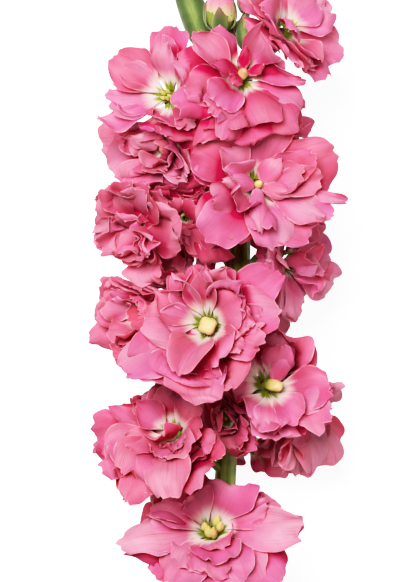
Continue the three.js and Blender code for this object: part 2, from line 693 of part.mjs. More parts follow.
/** A three.js mesh from a manifold-3d solid. */
function meshOf(name, solid, colour, roughness) {
  const made = solid.getMesh();
  const position = new Float32Array(made.numVert * 3);
  for (let i = 0; i < made.numVert; i++) {
    position.set(made.vertProperties.subarray(i * made.numProp, i * made.numProp + 3), i * 3);
  }
  const geometry = new THREE.BufferGeometry();
  geometry.setAttribute("position", new THREE.BufferAttribute(position, 3));
  geometry.setIndex(new THREE.BufferAttribute(made.triVerts, 1));
  geometry.computeVertexNormals();
  const material = new THREE.MeshStandardMaterial({ color: colour, roughness, metalness: 0 });
  const mesh = new THREE.Mesh(geometry, material);
  mesh.name = name;
  return mesh;
}

const COLOUR = { stem: 0x5f7a2a, petal: 0xe8688f, heart: 0xc9c963, leaf: 0x6f8560, bud: 0xe58a9c };

const plant = new THREE.Group();
let green = stemSolid();
for (const bloom of blooms) green = green.add(bloomStalk(bloom));
for (const bud of BUDS) green = green.add(budStalk(bud));
plant.add(meshOf("stem", mainBody(green.subtract(belowSurface)), COLOUR.stem, 0.6));
for (const bloom of blooms) {
  plant.add(meshOf(`${bloom.name}_petals`, petalsSolid(bloom), COLOUR.petal, 0.5));
  plant.add(meshOf(`${bloom.name}_heart`, heartSolid(bloom), COLOUR.heart, 0.5));
}
for (const bud of BUDS.filter(({ open }) => open)) {
  plant.add(meshOf(`${bud.name}_petals`, budPetals(bud), COLOUR.bud, 0.5));
}
for (const leaf of LEAVES) plant.add(meshOf(leaf.name, leafSolid(leaf), COLOUR.leaf, 0.7));

const group = new THREE.Group();
const box = new THREE.Box3().setFromObject(plant);
const centre = box.getCenter(vector(0, 0, 0));
plant.position.set(-centre.x, -centre.y, 0);
group.add(plant);

export default group;
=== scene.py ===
"""Dresses a cut stem of double-flowered stock that lies on a pale table.

The blooms' layered petals, their hearts, the ridged stem with its stalks and calyx cups, the buds and
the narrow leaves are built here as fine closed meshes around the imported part. Tables and sizes are in
millimetres and degrees, in the plant's own frame: the stem runs along +Y to its tip and +Z is up from
the table. Patch.object() moves points to the part's frame in metres.
"""
import logging
import math
from dataclasses import dataclass, field, replace
from enum import Enum

import bpy
import numpy as np
from mathutils import Euler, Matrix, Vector


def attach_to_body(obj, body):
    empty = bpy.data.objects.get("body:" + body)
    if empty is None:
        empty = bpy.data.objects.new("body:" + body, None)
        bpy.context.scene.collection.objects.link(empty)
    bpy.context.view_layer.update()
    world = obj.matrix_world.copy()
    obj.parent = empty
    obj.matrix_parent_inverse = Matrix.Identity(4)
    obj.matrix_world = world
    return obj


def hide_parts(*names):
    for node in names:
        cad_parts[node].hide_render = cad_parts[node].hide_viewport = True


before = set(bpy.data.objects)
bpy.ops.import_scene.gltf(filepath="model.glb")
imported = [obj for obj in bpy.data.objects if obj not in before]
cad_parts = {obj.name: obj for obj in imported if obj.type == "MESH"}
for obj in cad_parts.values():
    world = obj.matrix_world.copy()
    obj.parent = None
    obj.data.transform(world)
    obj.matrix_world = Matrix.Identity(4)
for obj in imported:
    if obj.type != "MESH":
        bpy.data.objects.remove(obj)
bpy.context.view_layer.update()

LOG = logging.getLogger("stock_stem")
MM = 0.001
PLANT_SHIFT = (-0.90856, 52.67112, 0.0)  # from the plant's frame to the part's
Row = tuple[float, ...]
Colour = tuple[float, float, float]
Array = np.ndarray
Piece, Material = bpy.types.Object, bpy.types.Material
Node, NodeTree, Socket = bpy.types.Node, bpy.types.NodeTree, bpy.types.NodeSocket
Reads = dict[str | int, object]  # what a node's inputs read: sockets, numbers or tuples

# The stem's middle line from the cut end to the tip, and its radius there.
STEM_LINE: tuple[Row, ...] = (
    (1.5, -205, 2.75, 3.2),
    (3.2, -150, 8.6, 3.15),
    (4.3, -100, 15.2, 3.0),
    (4.6, -57, 20.6, 2.85),
    (8.6, 8, 27.2, 2.85),
    (7.6, 45, 30.2, 2.5),
    (5.2, 72, 32.0, 2.1),
    (3.2, 92, 33.0, 1.3),
)


def draw(seed: float) -> float:
    """A repeatable number from 0 to 1 for any seed.

    Args:
        seed: Any number.

    Returns:
        The drawn number.
    """
    s = math.sin(seed * 12.9898 + 4.137) * 43758.5453
    return s - math.floor(s)


def sway(seed: float) -> float:
    """A repeatable number from -1 to 1 for any seed."""
    return 2 * draw(seed) - 1


def smooth(a: float, b: float, x: Array) -> Array:
    """A smooth step from 0 at a to 1 at b, for each value of x."""
    t = np.clip((np.asarray(x, float) - a) / (b - a), 0, 1)
    return t * t * (3 - 2 * t)


def mix(ends: tuple[float, float], share: float) -> float:
    """The value at a share of the way from the first number to the second."""
    return ends[0] + (ends[1] - ends[0]) * share


def unit(v: Array) -> Array:
    """Vectors scaled to length one along the last axis."""
    return v / np.maximum(np.linalg.norm(v, axis=-1, keepdims=True), 1e-9)


def ease(over: Array, depth: float) -> Array:
    """A depth past a limit, eased so that it never passes the limit.

    Args:
        over: How far each point is past the limit, negative inside it.
        depth: The distance inside the limit where the easing begins.

    Returns:
        The eased depths.
    """
    return np.where(over <= -depth, over, -depth * np.exp(-(np.maximum(over, -depth) + depth) / depth))


def stem_at(y: Array) -> tuple[Array, Array]:
    """The stem's middle line and radius at given heights, as a cubic through STEM_LINE.

    Args:
        y: Heights along the stem.

    Returns:
        The middle points and the radii.
    """
    table = np.array(STEM_LINE, float)
    y = np.asarray(y, float)
    last = len(table) - 1
    i = np.clip(np.searchsorted(table[:, 1], y, side="left") - 1, 0, last - 1)
    p, q = table[i], table[i + 1]
    before, after = table[np.maximum(i - 1, 0)], table[np.minimum(i + 2, last)]
    span = q[..., 1] - p[..., 1]
    t = (y - p[..., 1]) / span

    def cubic(k: int) -> Array:
        """One column of the table at the given heights.

        Args:
            k: The column.

        Returns:
            Its values.
        """
        m0 = (q[..., k] - before[..., k]) / (q[..., 1] - before[..., 1]) * span
        m1 = (after[..., k] - p[..., k]) / (after[..., 1] - p[..., 1]) * span
        t2 = t * t
        t3 = t2 * t
        return (
            (2 * t3 - 3 * t2 + 1) * p[..., k]
            + (t3 - 2 * t2 + t) * m0
            + (3 * t2 - 2 * t3) * q[..., k]
            + (t3 - t2) * m1
        )

    return np.stack([cubic(0), y, cubic(2)], -1), cubic(3)


class Slot(Enum):
    """The record's material slots."""

    GREEN = "green"
    PETAL = "petal"
    HEART = "heart"
    BUD_PETAL = "bud_petal"
    LEAF = "leaf"


class NodeKit:
    """Short calls that add and link nodes in one tree."""

    def __init__(self, tree: NodeTree) -> None:
        """Starts with the tree to add to."""
        self.tree = tree

    def add(self, kind: str, reads: Reads | None = None, **settings: object) -> Node:
        """Adds a node.

        Args:
            kind: The node's type.
            reads: What its inputs read.
            **settings: A value for each named property.

        Returns:
            The node.
        """
        node = self.tree.nodes.new(kind)
        for name, value in settings.items():
            setattr(node, name, value)
        self.read(node, reads or {})
        return node

    def read(self, node: Node, reads: Reads) -> None:
        """Feeds each named or numbered input of a node."""
        for key, value in reads.items():
            self.feed(node.inputs[key], value)

    def feed(self, socket: Socket, value: object) -> None:
        """Links a socket to another's output, or sets its value.

        Args:
            socket: The input.
            value: An output socket, a number, or a tuple of numbers.
        """
        if isinstance(value, Socket):
            self.tree.links.new(value, socket)
        elif isinstance(value, tuple) and len(value) == 3 and socket.type == "RGBA":
            socket.default_value = (*value, 1.0)
        else:
            socket.default_value = value

    def math(self, operation: str, *values: object, clamp: bool = False) -> Socket:
        """The result of a Math node on the given sockets or numbers."""
        reads = dict(enumerate(values))
        return self.add("ShaderNodeMath", reads, operation=operation, use_clamp=clamp).outputs[0]

    def times(self, a: object, b: object) -> Socket:
        """The product of two sockets or numbers."""
        return self.math("MULTIPLY", a, b)

    def swing(self, value: object, size: object) -> Socket:
        """A value from 0 to 1, moved to swing about 0 and scaled."""
        return self.times(self.math("SUBTRACT", value, 0.5), size)

    def ramp(
        self, value: object, low: float, high: float, out: tuple[float, float] = (0.0, 1.0)
    ) -> Socket:
        """A value eased from the range low to high to the range out."""
        reads = {"Value": value, "From Min": low, "From Max": high, "To Min": out[0], "To Max": out[1]}
        return self.add("ShaderNodeMapRange", reads, interpolation_type="SMOOTHSTEP").outputs["Result"]

    def blend(self, share: object, a: object, b: object, how: str = "MIX") -> Socket:
        """A mix of two colours, with a share of the second one."""
        reads = {0: share, 6: a, 7: b}
        return self.add("ShaderNodeMix", reads, data_type="RGBA", blend_type=how).outputs[2]

    def parts(self, vector: Socket) -> tuple[Socket, ...]:
        """The three numbers of a vector socket."""
        return tuple(self.add("ShaderNodeSeparateXYZ", {0: vector}).outputs)

    def vector(self, x: object, y: object, z: object) -> Socket:
        """A vector socket from three numbers or sockets."""
        return self.add("ShaderNodeCombineXYZ", {0: x, 1: y, 2: z}).outputs[0]

    def attribute(self, name: str) -> Socket:
        """The vector of a mesh attribute."""
        return self.add("ShaderNodeAttribute", attribute_name=name).outputs["Vector"]

    def relief(self, shader: Node, height: object, strength: float, distance: float) -> None:
        """Gives a shader a small relief from a height socket, with a distance in metres."""
        reads = {"Strength": strength, "Distance": distance, "Height": height}
        self.feed(shader.inputs["Normal"], self.add("ShaderNodeBump", reads).outputs[0])

    def noise(
        self, vector: object, scale: object, detail: float = 3.0, rough: float = 0.55
    ) -> Socket:
        """The factor of a Noise texture read at a vector."""
        reads = {"Vector": vector, "Scale": scale, "Detail": detail, "Roughness": rough}
        return self.add("ShaderNodeTexNoise", reads).outputs["Fac"]


class PatternGroups:
    """Shader node groups that more than one finish uses, built once."""

    _made: dict[str, NodeTree] = {}

    @classmethod
    def _start(
        cls, name: str, ins: dict[str, float | None], outs: tuple[str, ...]
    ) -> tuple[NodeTree, NodeKit, Node, Node]:
        """Makes an empty group with named sockets.

        Args:
            name: The group's name.
            ins: Each input's default, or None for a vector.
            outs: The outputs' names.

        Returns:
            The tree, its kit, and its input and output nodes.
        """
        tree = bpy.data.node_groups.new(name, "ShaderNodeTree")
        for label, default in ins.items():
            kind = "NodeSocketVector" if default is None else "NodeSocketFloat"
            socket = tree.interface.new_socket(label, in_out="INPUT", socket_type=kind)
            if default is not None:
                socket.default_value = default
        for label in outs:
            tree.interface.new_socket(label, in_out="OUTPUT", socket_type="NodeSocketFloat")
        kit = NodeKit(tree)
        cls._made[name] = tree
        return tree, kit, kit.add("NodeGroupInput"), kit.add("NodeGroupOutput")

    @classmethod
    def veins(cls) -> NodeTree:
        """Fine lines that run lengthwise and fan out, from a map across and along the piece.

        Returns:
            The group. Lines is high on a vein, and Relief is its height.
        """
        name = "lengthwise_veins"
        if name in cls._made:
            return cls._made[name]
        ins = {"Map": None, "Across": 14.0, "Along": 1.0, "Seed": 0.0}
        tree, kit, start, end = cls._start(name, ins, ("Lines", "Relief"))
        x, y, _ = kit.parts(start.outputs["Map"])
        drift = kit.noise(kit.vector(x, y, start.outputs["Seed"]), 2.2, 2.0)
        across = kit.times(kit.math("ADD", x, kit.swing(drift, 0.12)), start.outputs["Across"])
        along = kit.times(y, start.outputs["Along"])
        fine = kit.noise(kit.vector(across, along, start.outputs["Seed"]), 1.0, 4.0, 0.6)
        wide = kit.times(across, 0.35)
        coarse = kit.noise(kit.vector(wide, along, start.outputs["Seed"]), 1.0, 2.0)
        relief = kit.math("ADD", kit.times(fine, 0.5), kit.times(coarse, 0.5))
        kit.read(end, {"Lines": kit.ramp(fine, 0.5, 0.72), "Relief": relief})
        return tree

    @classmethod
    def mottle(cls) -> NodeTree:
        """Soft uneven patches in the piece's own coordinates.

        Returns:
            The group. Patches runs from 0 to 1 about 0.5.
        """
        name = "soft_mottle"
        if name in cls._made:
            return cls._made[name]
        tree, kit, start, end = cls._start(name, {"Size": 120.0, "Contrast": 1.0}, ("Patches",))
        place = kit.add("ShaderNodeTexCoord").outputs["Object"]
        patches = kit.noise(place, start.outputs["Size"], 3.0)
        centred = kit.swing(patches, start.outputs["Contrast"])
        kit.read(end, {"Patches": kit.math("ADD", centred, 0.5, clamp=True)})
        return tree


def place_group(kit: NodeKit, tree: NodeTree, **values: object) -> Node:
    """Puts a group in a material, with what each named input reads."""
    return kit.add("ShaderNodeGroup", values, node_tree=tree)


def new_material(name: str) -> tuple[Material, NodeKit, Node, Node]:
    """An empty node material.

    Args:
        name: The material's name.

    Returns:
        The material, its kit, its Principled shader and its output node.
    """
    made = bpy.data.materials.new(name)
    made.use_nodes = True
    made.node_tree.nodes.clear()
    kit = NodeKit(made.node_tree)
    shader = kit.add("ShaderNodeBsdfPrincipled")
    return made, kit, shader, kit.add("ShaderNodeOutputMaterial", {"Surface": shader.outputs[0]})


def add_object(name: str, data: bpy.types.ID) -> Piece:
    """A new object, linked to the scene.

    Args:
        name: Its name.
        data: Its mesh, light or camera.

    Returns:
        The object.
    """
    made = bpy.data.objects.new(name, data)
    bpy.context.scene.collection.objects.link(made)
    return made


def let_light_through(
    kit: NodeKit, shader: Node, out: Node, colour: Socket, share: float
) -> None:
    """Mixes light that passes through a thin blade into a material.

    Args:
        kit: The material's kit.
        shader: Its Principled shader.
        out: Its output node.
        colour: The colour that the blade gives to light that passes.
        share: How much of the light passes.
    """
    through = kit.add("ShaderNodeBsdfTranslucent", {"Color": colour})
    reads = {0: share, 1: shader.outputs[0], 2: through.outputs[0]}
    kit.read(out, {"Surface": kit.add("ShaderNodeMixShader", reads).outputs[0]})


@dataclass(frozen=True)
class PetalFinish:
    """Satin petals: warm or cool pink, veined, with a painted highlight at the rim and painted shade under
    other petals, white and then green at the claw.
    """

    name: str = "stock_petal"
    warm: Colour = (0.82, 0.15, 0.23)
    cool: Colour = (0.80, 0.16, 0.42)
    back: Colour = (0.84, 0.28, 0.42)
    pale: Colour = (0.93, 0.45, 0.58)
    # deep: the petals' own deeper tone, and the colour of the painted shade where other petals cover them and
    # at the foot of outer petals
    deep: Colour = (0.60, 0.012, 0.10)
    # rim: the colour of a painted highlight along the petal margins
    rim: Colour = (0.96, 0.62, 0.68)
    white: Colour = (0.93, 0.86, 0.78)
    green: Colour = (0.30, 0.36, 0.02)
    vein: Colour = (0.62, 0.03, 0.13)
    roughness: float = 0.46
    through: float = 0.4

    def build(self) -> Material:
        """Builds the material. It reads the attributes petal_tone and petal_place and the map petal_map.

        Returns:
            The material.
        """
        made, kit, shader, out = new_material(self.name)
        cool, pale, back = kit.parts(kit.attribute("petal_tone"))
        reach, rim, seed = kit.parts(kit.attribute("petal_place"))
        spread = kit.add("ShaderNodeUVMap", uv_map="petal_map").outputs[0]
        across, along, _ = kit.parts(spread)
        veins = place_group(kit, PatternGroups.veins(), Map=spread, Across=44.0, Along=1.3, Seed=seed)
        patches = place_group(kit, PatternGroups.mottle(), Size=150.0, Contrast=1.3).outputs["Patches"]
        base = kit.blend(cool, self.warm, self.cool)
        base = kit.blend(kit.times(back, 0.5), base, self.back)
        base = kit.blend(kit.math("MAXIMUM", pale, 0.0), base, self.pale)
        # Where the pale channel falls below zero the deep colour comes in: the petals' own deeper tones and
        # painted shade
        base = kit.blend(kit.math("MAXIMUM", kit.times(pale, -1.0), 0.0), base, self.deep)
        lines = kit.times(veins.outputs["Lines"], kit.ramp(rim, 0.95, 0.4, (0.1, 0.4)))
        base = kit.blend(lines, base, self.vein)
        shade = kit.ramp(patches, 0.2, 0.8, (0.88, 1.1))
        base = kit.blend(1.0, base, kit.vector(shade, shade, shade), "MULTIPLY")
        wide = kit.times(across, 7.0)
        margin = kit.noise(kit.vector(wide, kit.times(along, 7.0), seed), 1.0, 2.0)
        # Painted highlight: a pale, broken line along each petal's margin
        rim_highlight = kit.times(kit.ramp(rim, 0.84, 1.0), kit.ramp(margin, 0.4, 0.62, (0.05, 0.75)))
        base = kit.blend(rim_highlight, base, self.rim)
        streak = kit.noise(kit.vector(wide, kit.times(along, 0.5), seed), 1.0, 2.0)
        edge = kit.math("ADD", reach, kit.swing(streak, 0.5))
        base = kit.blend(kit.ramp(edge, 1.15, 0.45), base, self.white)
        middle = kit.math("ABSOLUTE", kit.math("SUBTRACT", across, 0.5))
        ray = kit.math("ADD", edge, kit.times(middle, 0.7))
        base = kit.blend(kit.ramp(ray, 0.7, 0.35), base, self.green)
        rough = (self.roughness + 0.08, self.roughness - 0.06)
        kit.read(shader, {
            "Base Color": base, "Roughness": kit.ramp(patches, 0.1, 0.9, rough),
            "Specular IOR Level": 0.14, "Sheen Weight": 0.1, "Sheen Roughness": 0.3,
            "Sheen Tint": (1.0, 0.7, 0.8),
        })
        kit.relief(shader, veins.outputs["Relief"], 0.35, 0.00025)
        passed = kit.blend(1.0, base, (1.0, 0.3, 0.55), "MULTIPLY")
        let_light_through(kit, shader, out, passed, self.through)
        return made


@dataclass(frozen=True)
class HeartFinish:
    """The yellow-green bud of unopened petals in a bloom, tinged with pink or peach in some."""

    name: str = "stock_heart"
    green: Colour = (0.33, 0.38, 0.03)
    yellow: Colour = (0.83, 0.71, 0.26)
    blush: Colour = (0.83, 0.28, 0.22)
    roughness: float = 0.42

    def build(self) -> Material:
        """Builds the material. It reads the attribute heart_tone: blush, and then ripeness.

        Returns:
            The material.
        """
        made, kit, shader, out = new_material(self.name)
        blush, along, _ = kit.parts(kit.attribute("heart_tone"))
        patches = place_group(kit, PatternGroups.mottle(), Size=420.0, Contrast=1.5).outputs["Patches"]
        uneven = kit.math("ADD", along, kit.swing(patches, 0.35))
        base = kit.blend(kit.ramp(uneven, 0.02, 0.55), self.green, self.yellow)
        base = kit.blend(kit.times(kit.ramp(uneven, 0.45, 1.0), blush), base, self.blush)
        rough = (self.roughness + 0.1, self.roughness - 0.05)
        kit.read(shader, {"Base Color": base, "Roughness": kit.ramp(patches, 0.2, 0.8, rough)})
        kit.relief(shader, patches, 0.3, 0.0002)
        let_light_through(kit, shader, out, base, 0.12)
        return made


@dataclass(frozen=True)
class GreenFinish:
    """Green skin of the stem, stalks, sepals and leaves, ribbed lengthwise and finely downy."""

    name: str
    light: Colour
    dark: Colour
    tinge: Colour
    tinge_share: float = 0.0
    roughness: float = 0.5
    lines: float = 16.0
    down: float = 0.1
    through: float = 0.0

    def build(self) -> Material:
        """Builds the material. It reads the map green_map and the attribute green_tone.

        Returns:
            The material.
        """
        made, kit, shader, out = new_material(self.name)
        light, tinge, seed = kit.parts(kit.attribute("green_tone"))
        spread = kit.add("ShaderNodeUVMap", uv_map="green_map").outputs[0]
        veins = place_group(kit, PatternGroups.veins(), Map=spread, Across=self.lines, Along=1.1, Seed=seed)
        patches = place_group(kit, PatternGroups.mottle(), Size=260.0, Contrast=1.4).outputs["Patches"]
        tone = kit.math("ADD", light, kit.swing(patches, 0.5), clamp=True)
        base = kit.blend(tone, self.dark, self.light)
        base = kit.blend(kit.times(veins.outputs["Lines"], 0.4), base, self.dark)
        base = kit.blend(kit.times(tinge, self.tinge_share), base, self.tinge)
        rough = (self.roughness + 0.1, self.roughness - 0.08)
        kit.read(shader, {
            "Base Color": base, "Roughness": kit.ramp(patches, 0.2, 0.8, rough),
            "Specular IOR Level": 0.4, "Sheen Weight": self.down, "Sheen Roughness": 0.5,
        })
        kit.relief(shader, veins.outputs["Relief"], 0.4, 0.0003)
        if self.through:
            let_light_through(kit, shader, out, base, self.through)
        return made


@dataclass(frozen=True)
class TableFinish:
    """The plain pale table top."""

    name: str = "pale_table"
    colour: Colour = (0.95, 0.95, 0.95)
    glow: float = 1.2

    def build(self) -> Material:
        """Builds the material.

        Returns:
            The material.
        """
        made, kit, shader, _ = new_material(self.name)
        grain = place_group(kit, PatternGroups.mottle(), Size=900.0, Contrast=1.0).outputs["Patches"]
        shade = kit.ramp(grain, 0.0, 1.0, (0.985, 1.0))
        base = kit.blend(1.0, self.colour, kit.vector(shade, shade, shade), "MULTIPLY")
        seen = kit.add("ShaderNodeLightPath").outputs["Is Camera Ray"]
        kit.read(shader, {
            "Base Color": base, "Roughness": 0.8, "Specular IOR Level": 0.1,
            "Emission Color": (1.0, 1.0, 1.0), "Emission Strength": kit.times(seen, self.glow),
        })
        return made


@dataclass
class Patch:
    """Points, faces and named point values of one mesh that is being gathered."""

    points: list[Array] = field(default_factory=list)
    faces: list[Array] = field(default_factory=list)
    spread: list[Array] = field(default_factory=list)
    tones: dict[str, list[Array]] = field(default_factory=dict)
    count: int = 0

    def add(self, points: Array, faces: Array, spread: Array, **tones: Array) -> None:
        """Adds one closed shell.

        Args:
            points: Its points in the plant's frame.
            faces: Its four-sided faces, with a corner repeated where there are three.
            spread: A map position for each point.
            **tones: Named vectors for each point.
        """
        self.points.append(points.reshape(-1, 3))
        self.faces.append(faces + self.count)
        self.spread.append(spread.reshape(-1, 2))
        for name, values in tones.items():
            self.tones.setdefault(name, []).append(np.broadcast_to(values, (len(self.points[-1]), 3)))
        self.count += len(self.points[-1])

    def mesh(self, name: str, uv_name: str, points: Array) -> bpy.types.Mesh:
        """Makes the mesh, with its map and named values.

        Args:
            name: The mesh's name.
            uv_name: The name of its map.
            points: Its points in the units and place that it is wanted in.

        Returns:
            The mesh.
        """
        quads = np.concatenate(self.faces)
        thirds = quads[:, 2] == quads[:, 3]
        loops = np.concatenate([quads[~thirds].ravel(), quads[thirds][:, :3].ravel()])
        sizes = np.concatenate([np.full((~thirds).sum(), 4), np.full(thirds.sum(), 3)])
        mesh = bpy.data.meshes.new(name)
        mesh.vertices.add(len(points))
        mesh.vertices.foreach_set("co", points.astype(np.float32).ravel())
        mesh.loops.add(len(loops))
        mesh.loops.foreach_set("vertex_index", loops.astype(np.int32))
        mesh.polygons.add(len(sizes))
        starts = np.concatenate([[0], np.cumsum(sizes)[:-1]])
        mesh.polygons.foreach_set("loop_start", starts.astype(np.int32))
        mesh.polygons.foreach_set("use_smooth", np.ones(len(sizes), bool))
        mesh.update(calc_edges=True)
        layer = mesh.uv_layers.new(name=uv_name)
        layer.data.foreach_set("uv", np.concatenate(self.spread)[loops].astype(np.float32).ravel())
        for label, values in self.tones.items():
            made = mesh.attributes.new(label, "FLOAT_VECTOR", "POINT")
            made.data.foreach_set("vector", np.concatenate(values).astype(np.float32).ravel())
        return mesh

    def object(self, name: str, uv_name: str, material: Material) -> Piece:
        """Makes the Blender object, in the part's frame in metres.

        Args:
            name: The object's name.
            uv_name: The name of its map.
            material: Its finish.

        Returns:
            The object, linked to the scene.
        """
        mesh = self.mesh(name, uv_name, (np.concatenate(self.points) + np.array(PLANT_SHIFT)) * MM)
        mesh.validate()
        mesh.set_sharp_from_angle(angle=math.radians(65))
        mesh.materials.append(material)
        return add_object(name, mesh)


def blade(points: Array, thickness: Array | float) -> tuple[Array, Array]:
    """A closed blade about a surface of rows and columns of points.

    Args:
        points: The surface, rows along and columns across.
        thickness: The blade's thickness, one number or one for each point.

    Returns:
        Its points, the face's first and then the back's, and its faces.
    """
    rows, columns, _ = points.shape
    across = np.gradient(points, axis=1)
    along = np.gradient(points, axis=0)
    along[0] = along[1]
    across[0] = across[1]
    normal = unit(np.cross(across, along))
    half = np.broadcast_to(np.asarray(thickness, float) / 2, (rows, columns))[..., None]
    both = np.concatenate([(points + normal * half).reshape(-1, 3), (points - normal * half).reshape(-1, 3)])
    index = np.arange(rows * columns).reshape(rows, columns)
    a, b, c, d = index[:-1, :-1], index[:-1, 1:], index[1:, 1:], index[1:, :-1]
    top = np.stack([a, b, c, d], -1).reshape(-1, 4)
    bottom = np.stack([a, d, c, b], -1).reshape(-1, 4) + rows * columns
    edge = np.concatenate([index[0, :], index[1:, -1], index[-1, -2::-1], index[-2:0:-1, 0]])
    ahead = np.roll(edge, -1)
    rim = np.stack([ahead, edge, edge + rows * columns, ahead + rows * columns], -1)
    return both, np.concatenate([top, bottom, rim])


def blade_map(across: Array, along: Array) -> Array:
    """Map positions for both faces of a blade, from its places across (-1 to 1) and along (0 to 1)."""
    return np.tile(np.stack([across * 0.5 + 0.5, along], -1).reshape(-1, 2), (2, 1))


def loft(rings: Array) -> tuple[Array, Array]:
    """A closed tube through rings of points, with a middle point at each end.

    Args:
        rings: The rings, each the right-hand way round the direction of travel.

    Returns:
        Its points and faces.
    """
    count, sides, _ = rings.shape
    points = np.concatenate([rings.reshape(-1, 3), rings[0].mean(0)[None], rings[-1].mean(0)[None]])
    index = np.arange(count * sides).reshape(count, sides)
    side = np.roll(index, -1, axis=1)
    wall = np.stack([index[:-1], side[:-1], side[1:], index[1:]], -1).reshape(-1, 4)
    foot = np.stack([np.full(sides, count * sides), side[0], index[0], index[0]], -1)
    tip = np.stack([np.full(sides, count * sides + 1), index[-1], side[-1], side[-1]], -1)
    return points, np.concatenate([wall, foot, tip])


def rings_along(middle: Array, way: Array, sideways: Array, radius: Array) -> Array:
    """Rings of points square to a line.

    Args:
        middle: The line's points.
        way: Its direction at each point.
        sideways: A direction that the first corner leans to.
        radius: The radius for each ring and corner.

    Returns:
        The rings.
    """
    first = unit(sideways - way * (way * sideways).sum(-1, keepdims=True))
    second = np.cross(way, first)
    turn = 2 * np.pi * np.arange(radius.shape[1]) / radius.shape[1]
    return (
        middle[:, None]
        + first[:, None] * (radius * np.cos(turn))[..., None]
        + second[:, None] * (radius * np.sin(turn))[..., None]
    )


def ring_map(rings: int, sides: int) -> Array:
    """Map positions for a loft: across goes there and back, so that it closes without a seam.

    Args:
        rings: How many rings it has.
        sides: How many corners each ring has.

    Returns:
        The positions.
    """
    turn = np.arange(sides) / sides
    across = np.broadcast_to(np.abs(2 * turn - 1), (rings, sides))
    along = np.broadcast_to(np.linspace(0, 1, rings)[:, None], (rings, sides))
    both = np.stack([across, along], -1).reshape(-1, 2)
    return np.concatenate([both, [[0.5, 0.0], [0.5, 1.0]]])


class HeartStyle(Enum):
    """What a bloom's heart looks like."""

    BUD = "bud"
    BLOCK = "block"
    TIPS = "tips"


class Form(Enum):
    """How a petal is bent: cup and roll of its sides, curl of its tip, middle fold, and frill in mm."""

    SPOON = (30, 12, -30, 0, 0.4)
    SADDLE = (-6, -20, 55, 4, 0.7)
    REFLEXED = (-26, -55, 50, 0, 0.6)
    FOLDED = (10, -25, 25, 30, 0.6)
    KEELED = (-6, -15, 30, -24, 0.7)
    FRILLED = (6, 30, 15, -10, 1.1)
    DOME = (-75, -45, 65, 0, 0.15)
    ROLLED = (-75, -60, 10, 0, 0.15)
    ARCHED = (-70, -20, 20, 0, 0.5)
    POINTED = (15, 5, 12, 14, 0.5)

    @classmethod
    def of(cls, seed: float) -> "Form":
        """The form that a seed draws from the first six."""
        return list(cls)[int(draw(seed + 0.93) * 5.999)]


SPOON, SADDLE, REFLEXED, FOLDED, KEELED, FRILLED, DOME, ROLLED, ARCHED, POINTED = Form
Extra = tuple[float, float, float, float, Form, float]


@dataclass(frozen=True)
class BloomPlan:
    """A bloom's place and its petals, as the part's source has them, with its colours.

    face is the round of its axis about the stem, and rise how far the axis is raised to the tip. over is how
    much it lies over its neighbours, and reach its radius. petals is a number for the rule, or rows of
    azimuth, length, width and opening from the outermost in. cool and pale tint the petals; pale below zero
    deepens them, and on blooms that lie low under others this deeper tint is painted shade. depth is how much
    painted shade darkens them where the bloom's other petals cover them, and eye is how far their white foot
    goes. blush, tips, core and ripe are the heart's tint and sizes. fullness is the share of petals with
    another between the layers, closed a number of small petals about the heart, and extras single ones with a
    form and a tone of their own.
    """

    heart: Row
    face: float
    rise: float
    over: float
    reach: float
    turn: float = 0.0
    petals: int | tuple[Row, ...] = 7
    cool: float = 0.4
    # pale: paler above zero and deeper below; on low blooms under others the deeper tint is painted shade
    pale: float = 0.0
    eye: float = 7.0
    style: HeartStyle = HeartStyle.BUD
    blush: float = 0.2
    tips: float = 1.0
    core: float = 1.0
    ripe: float = 1.0
    # depth: how strongly painted shade darkens petals where the bloom's other petals cover them
    depth: float = 0.85
    fullness: float = 0.4
    closed: int = 0
    forms: tuple[Form, ...] = ()
    extras: tuple[Extra, ...] = ()


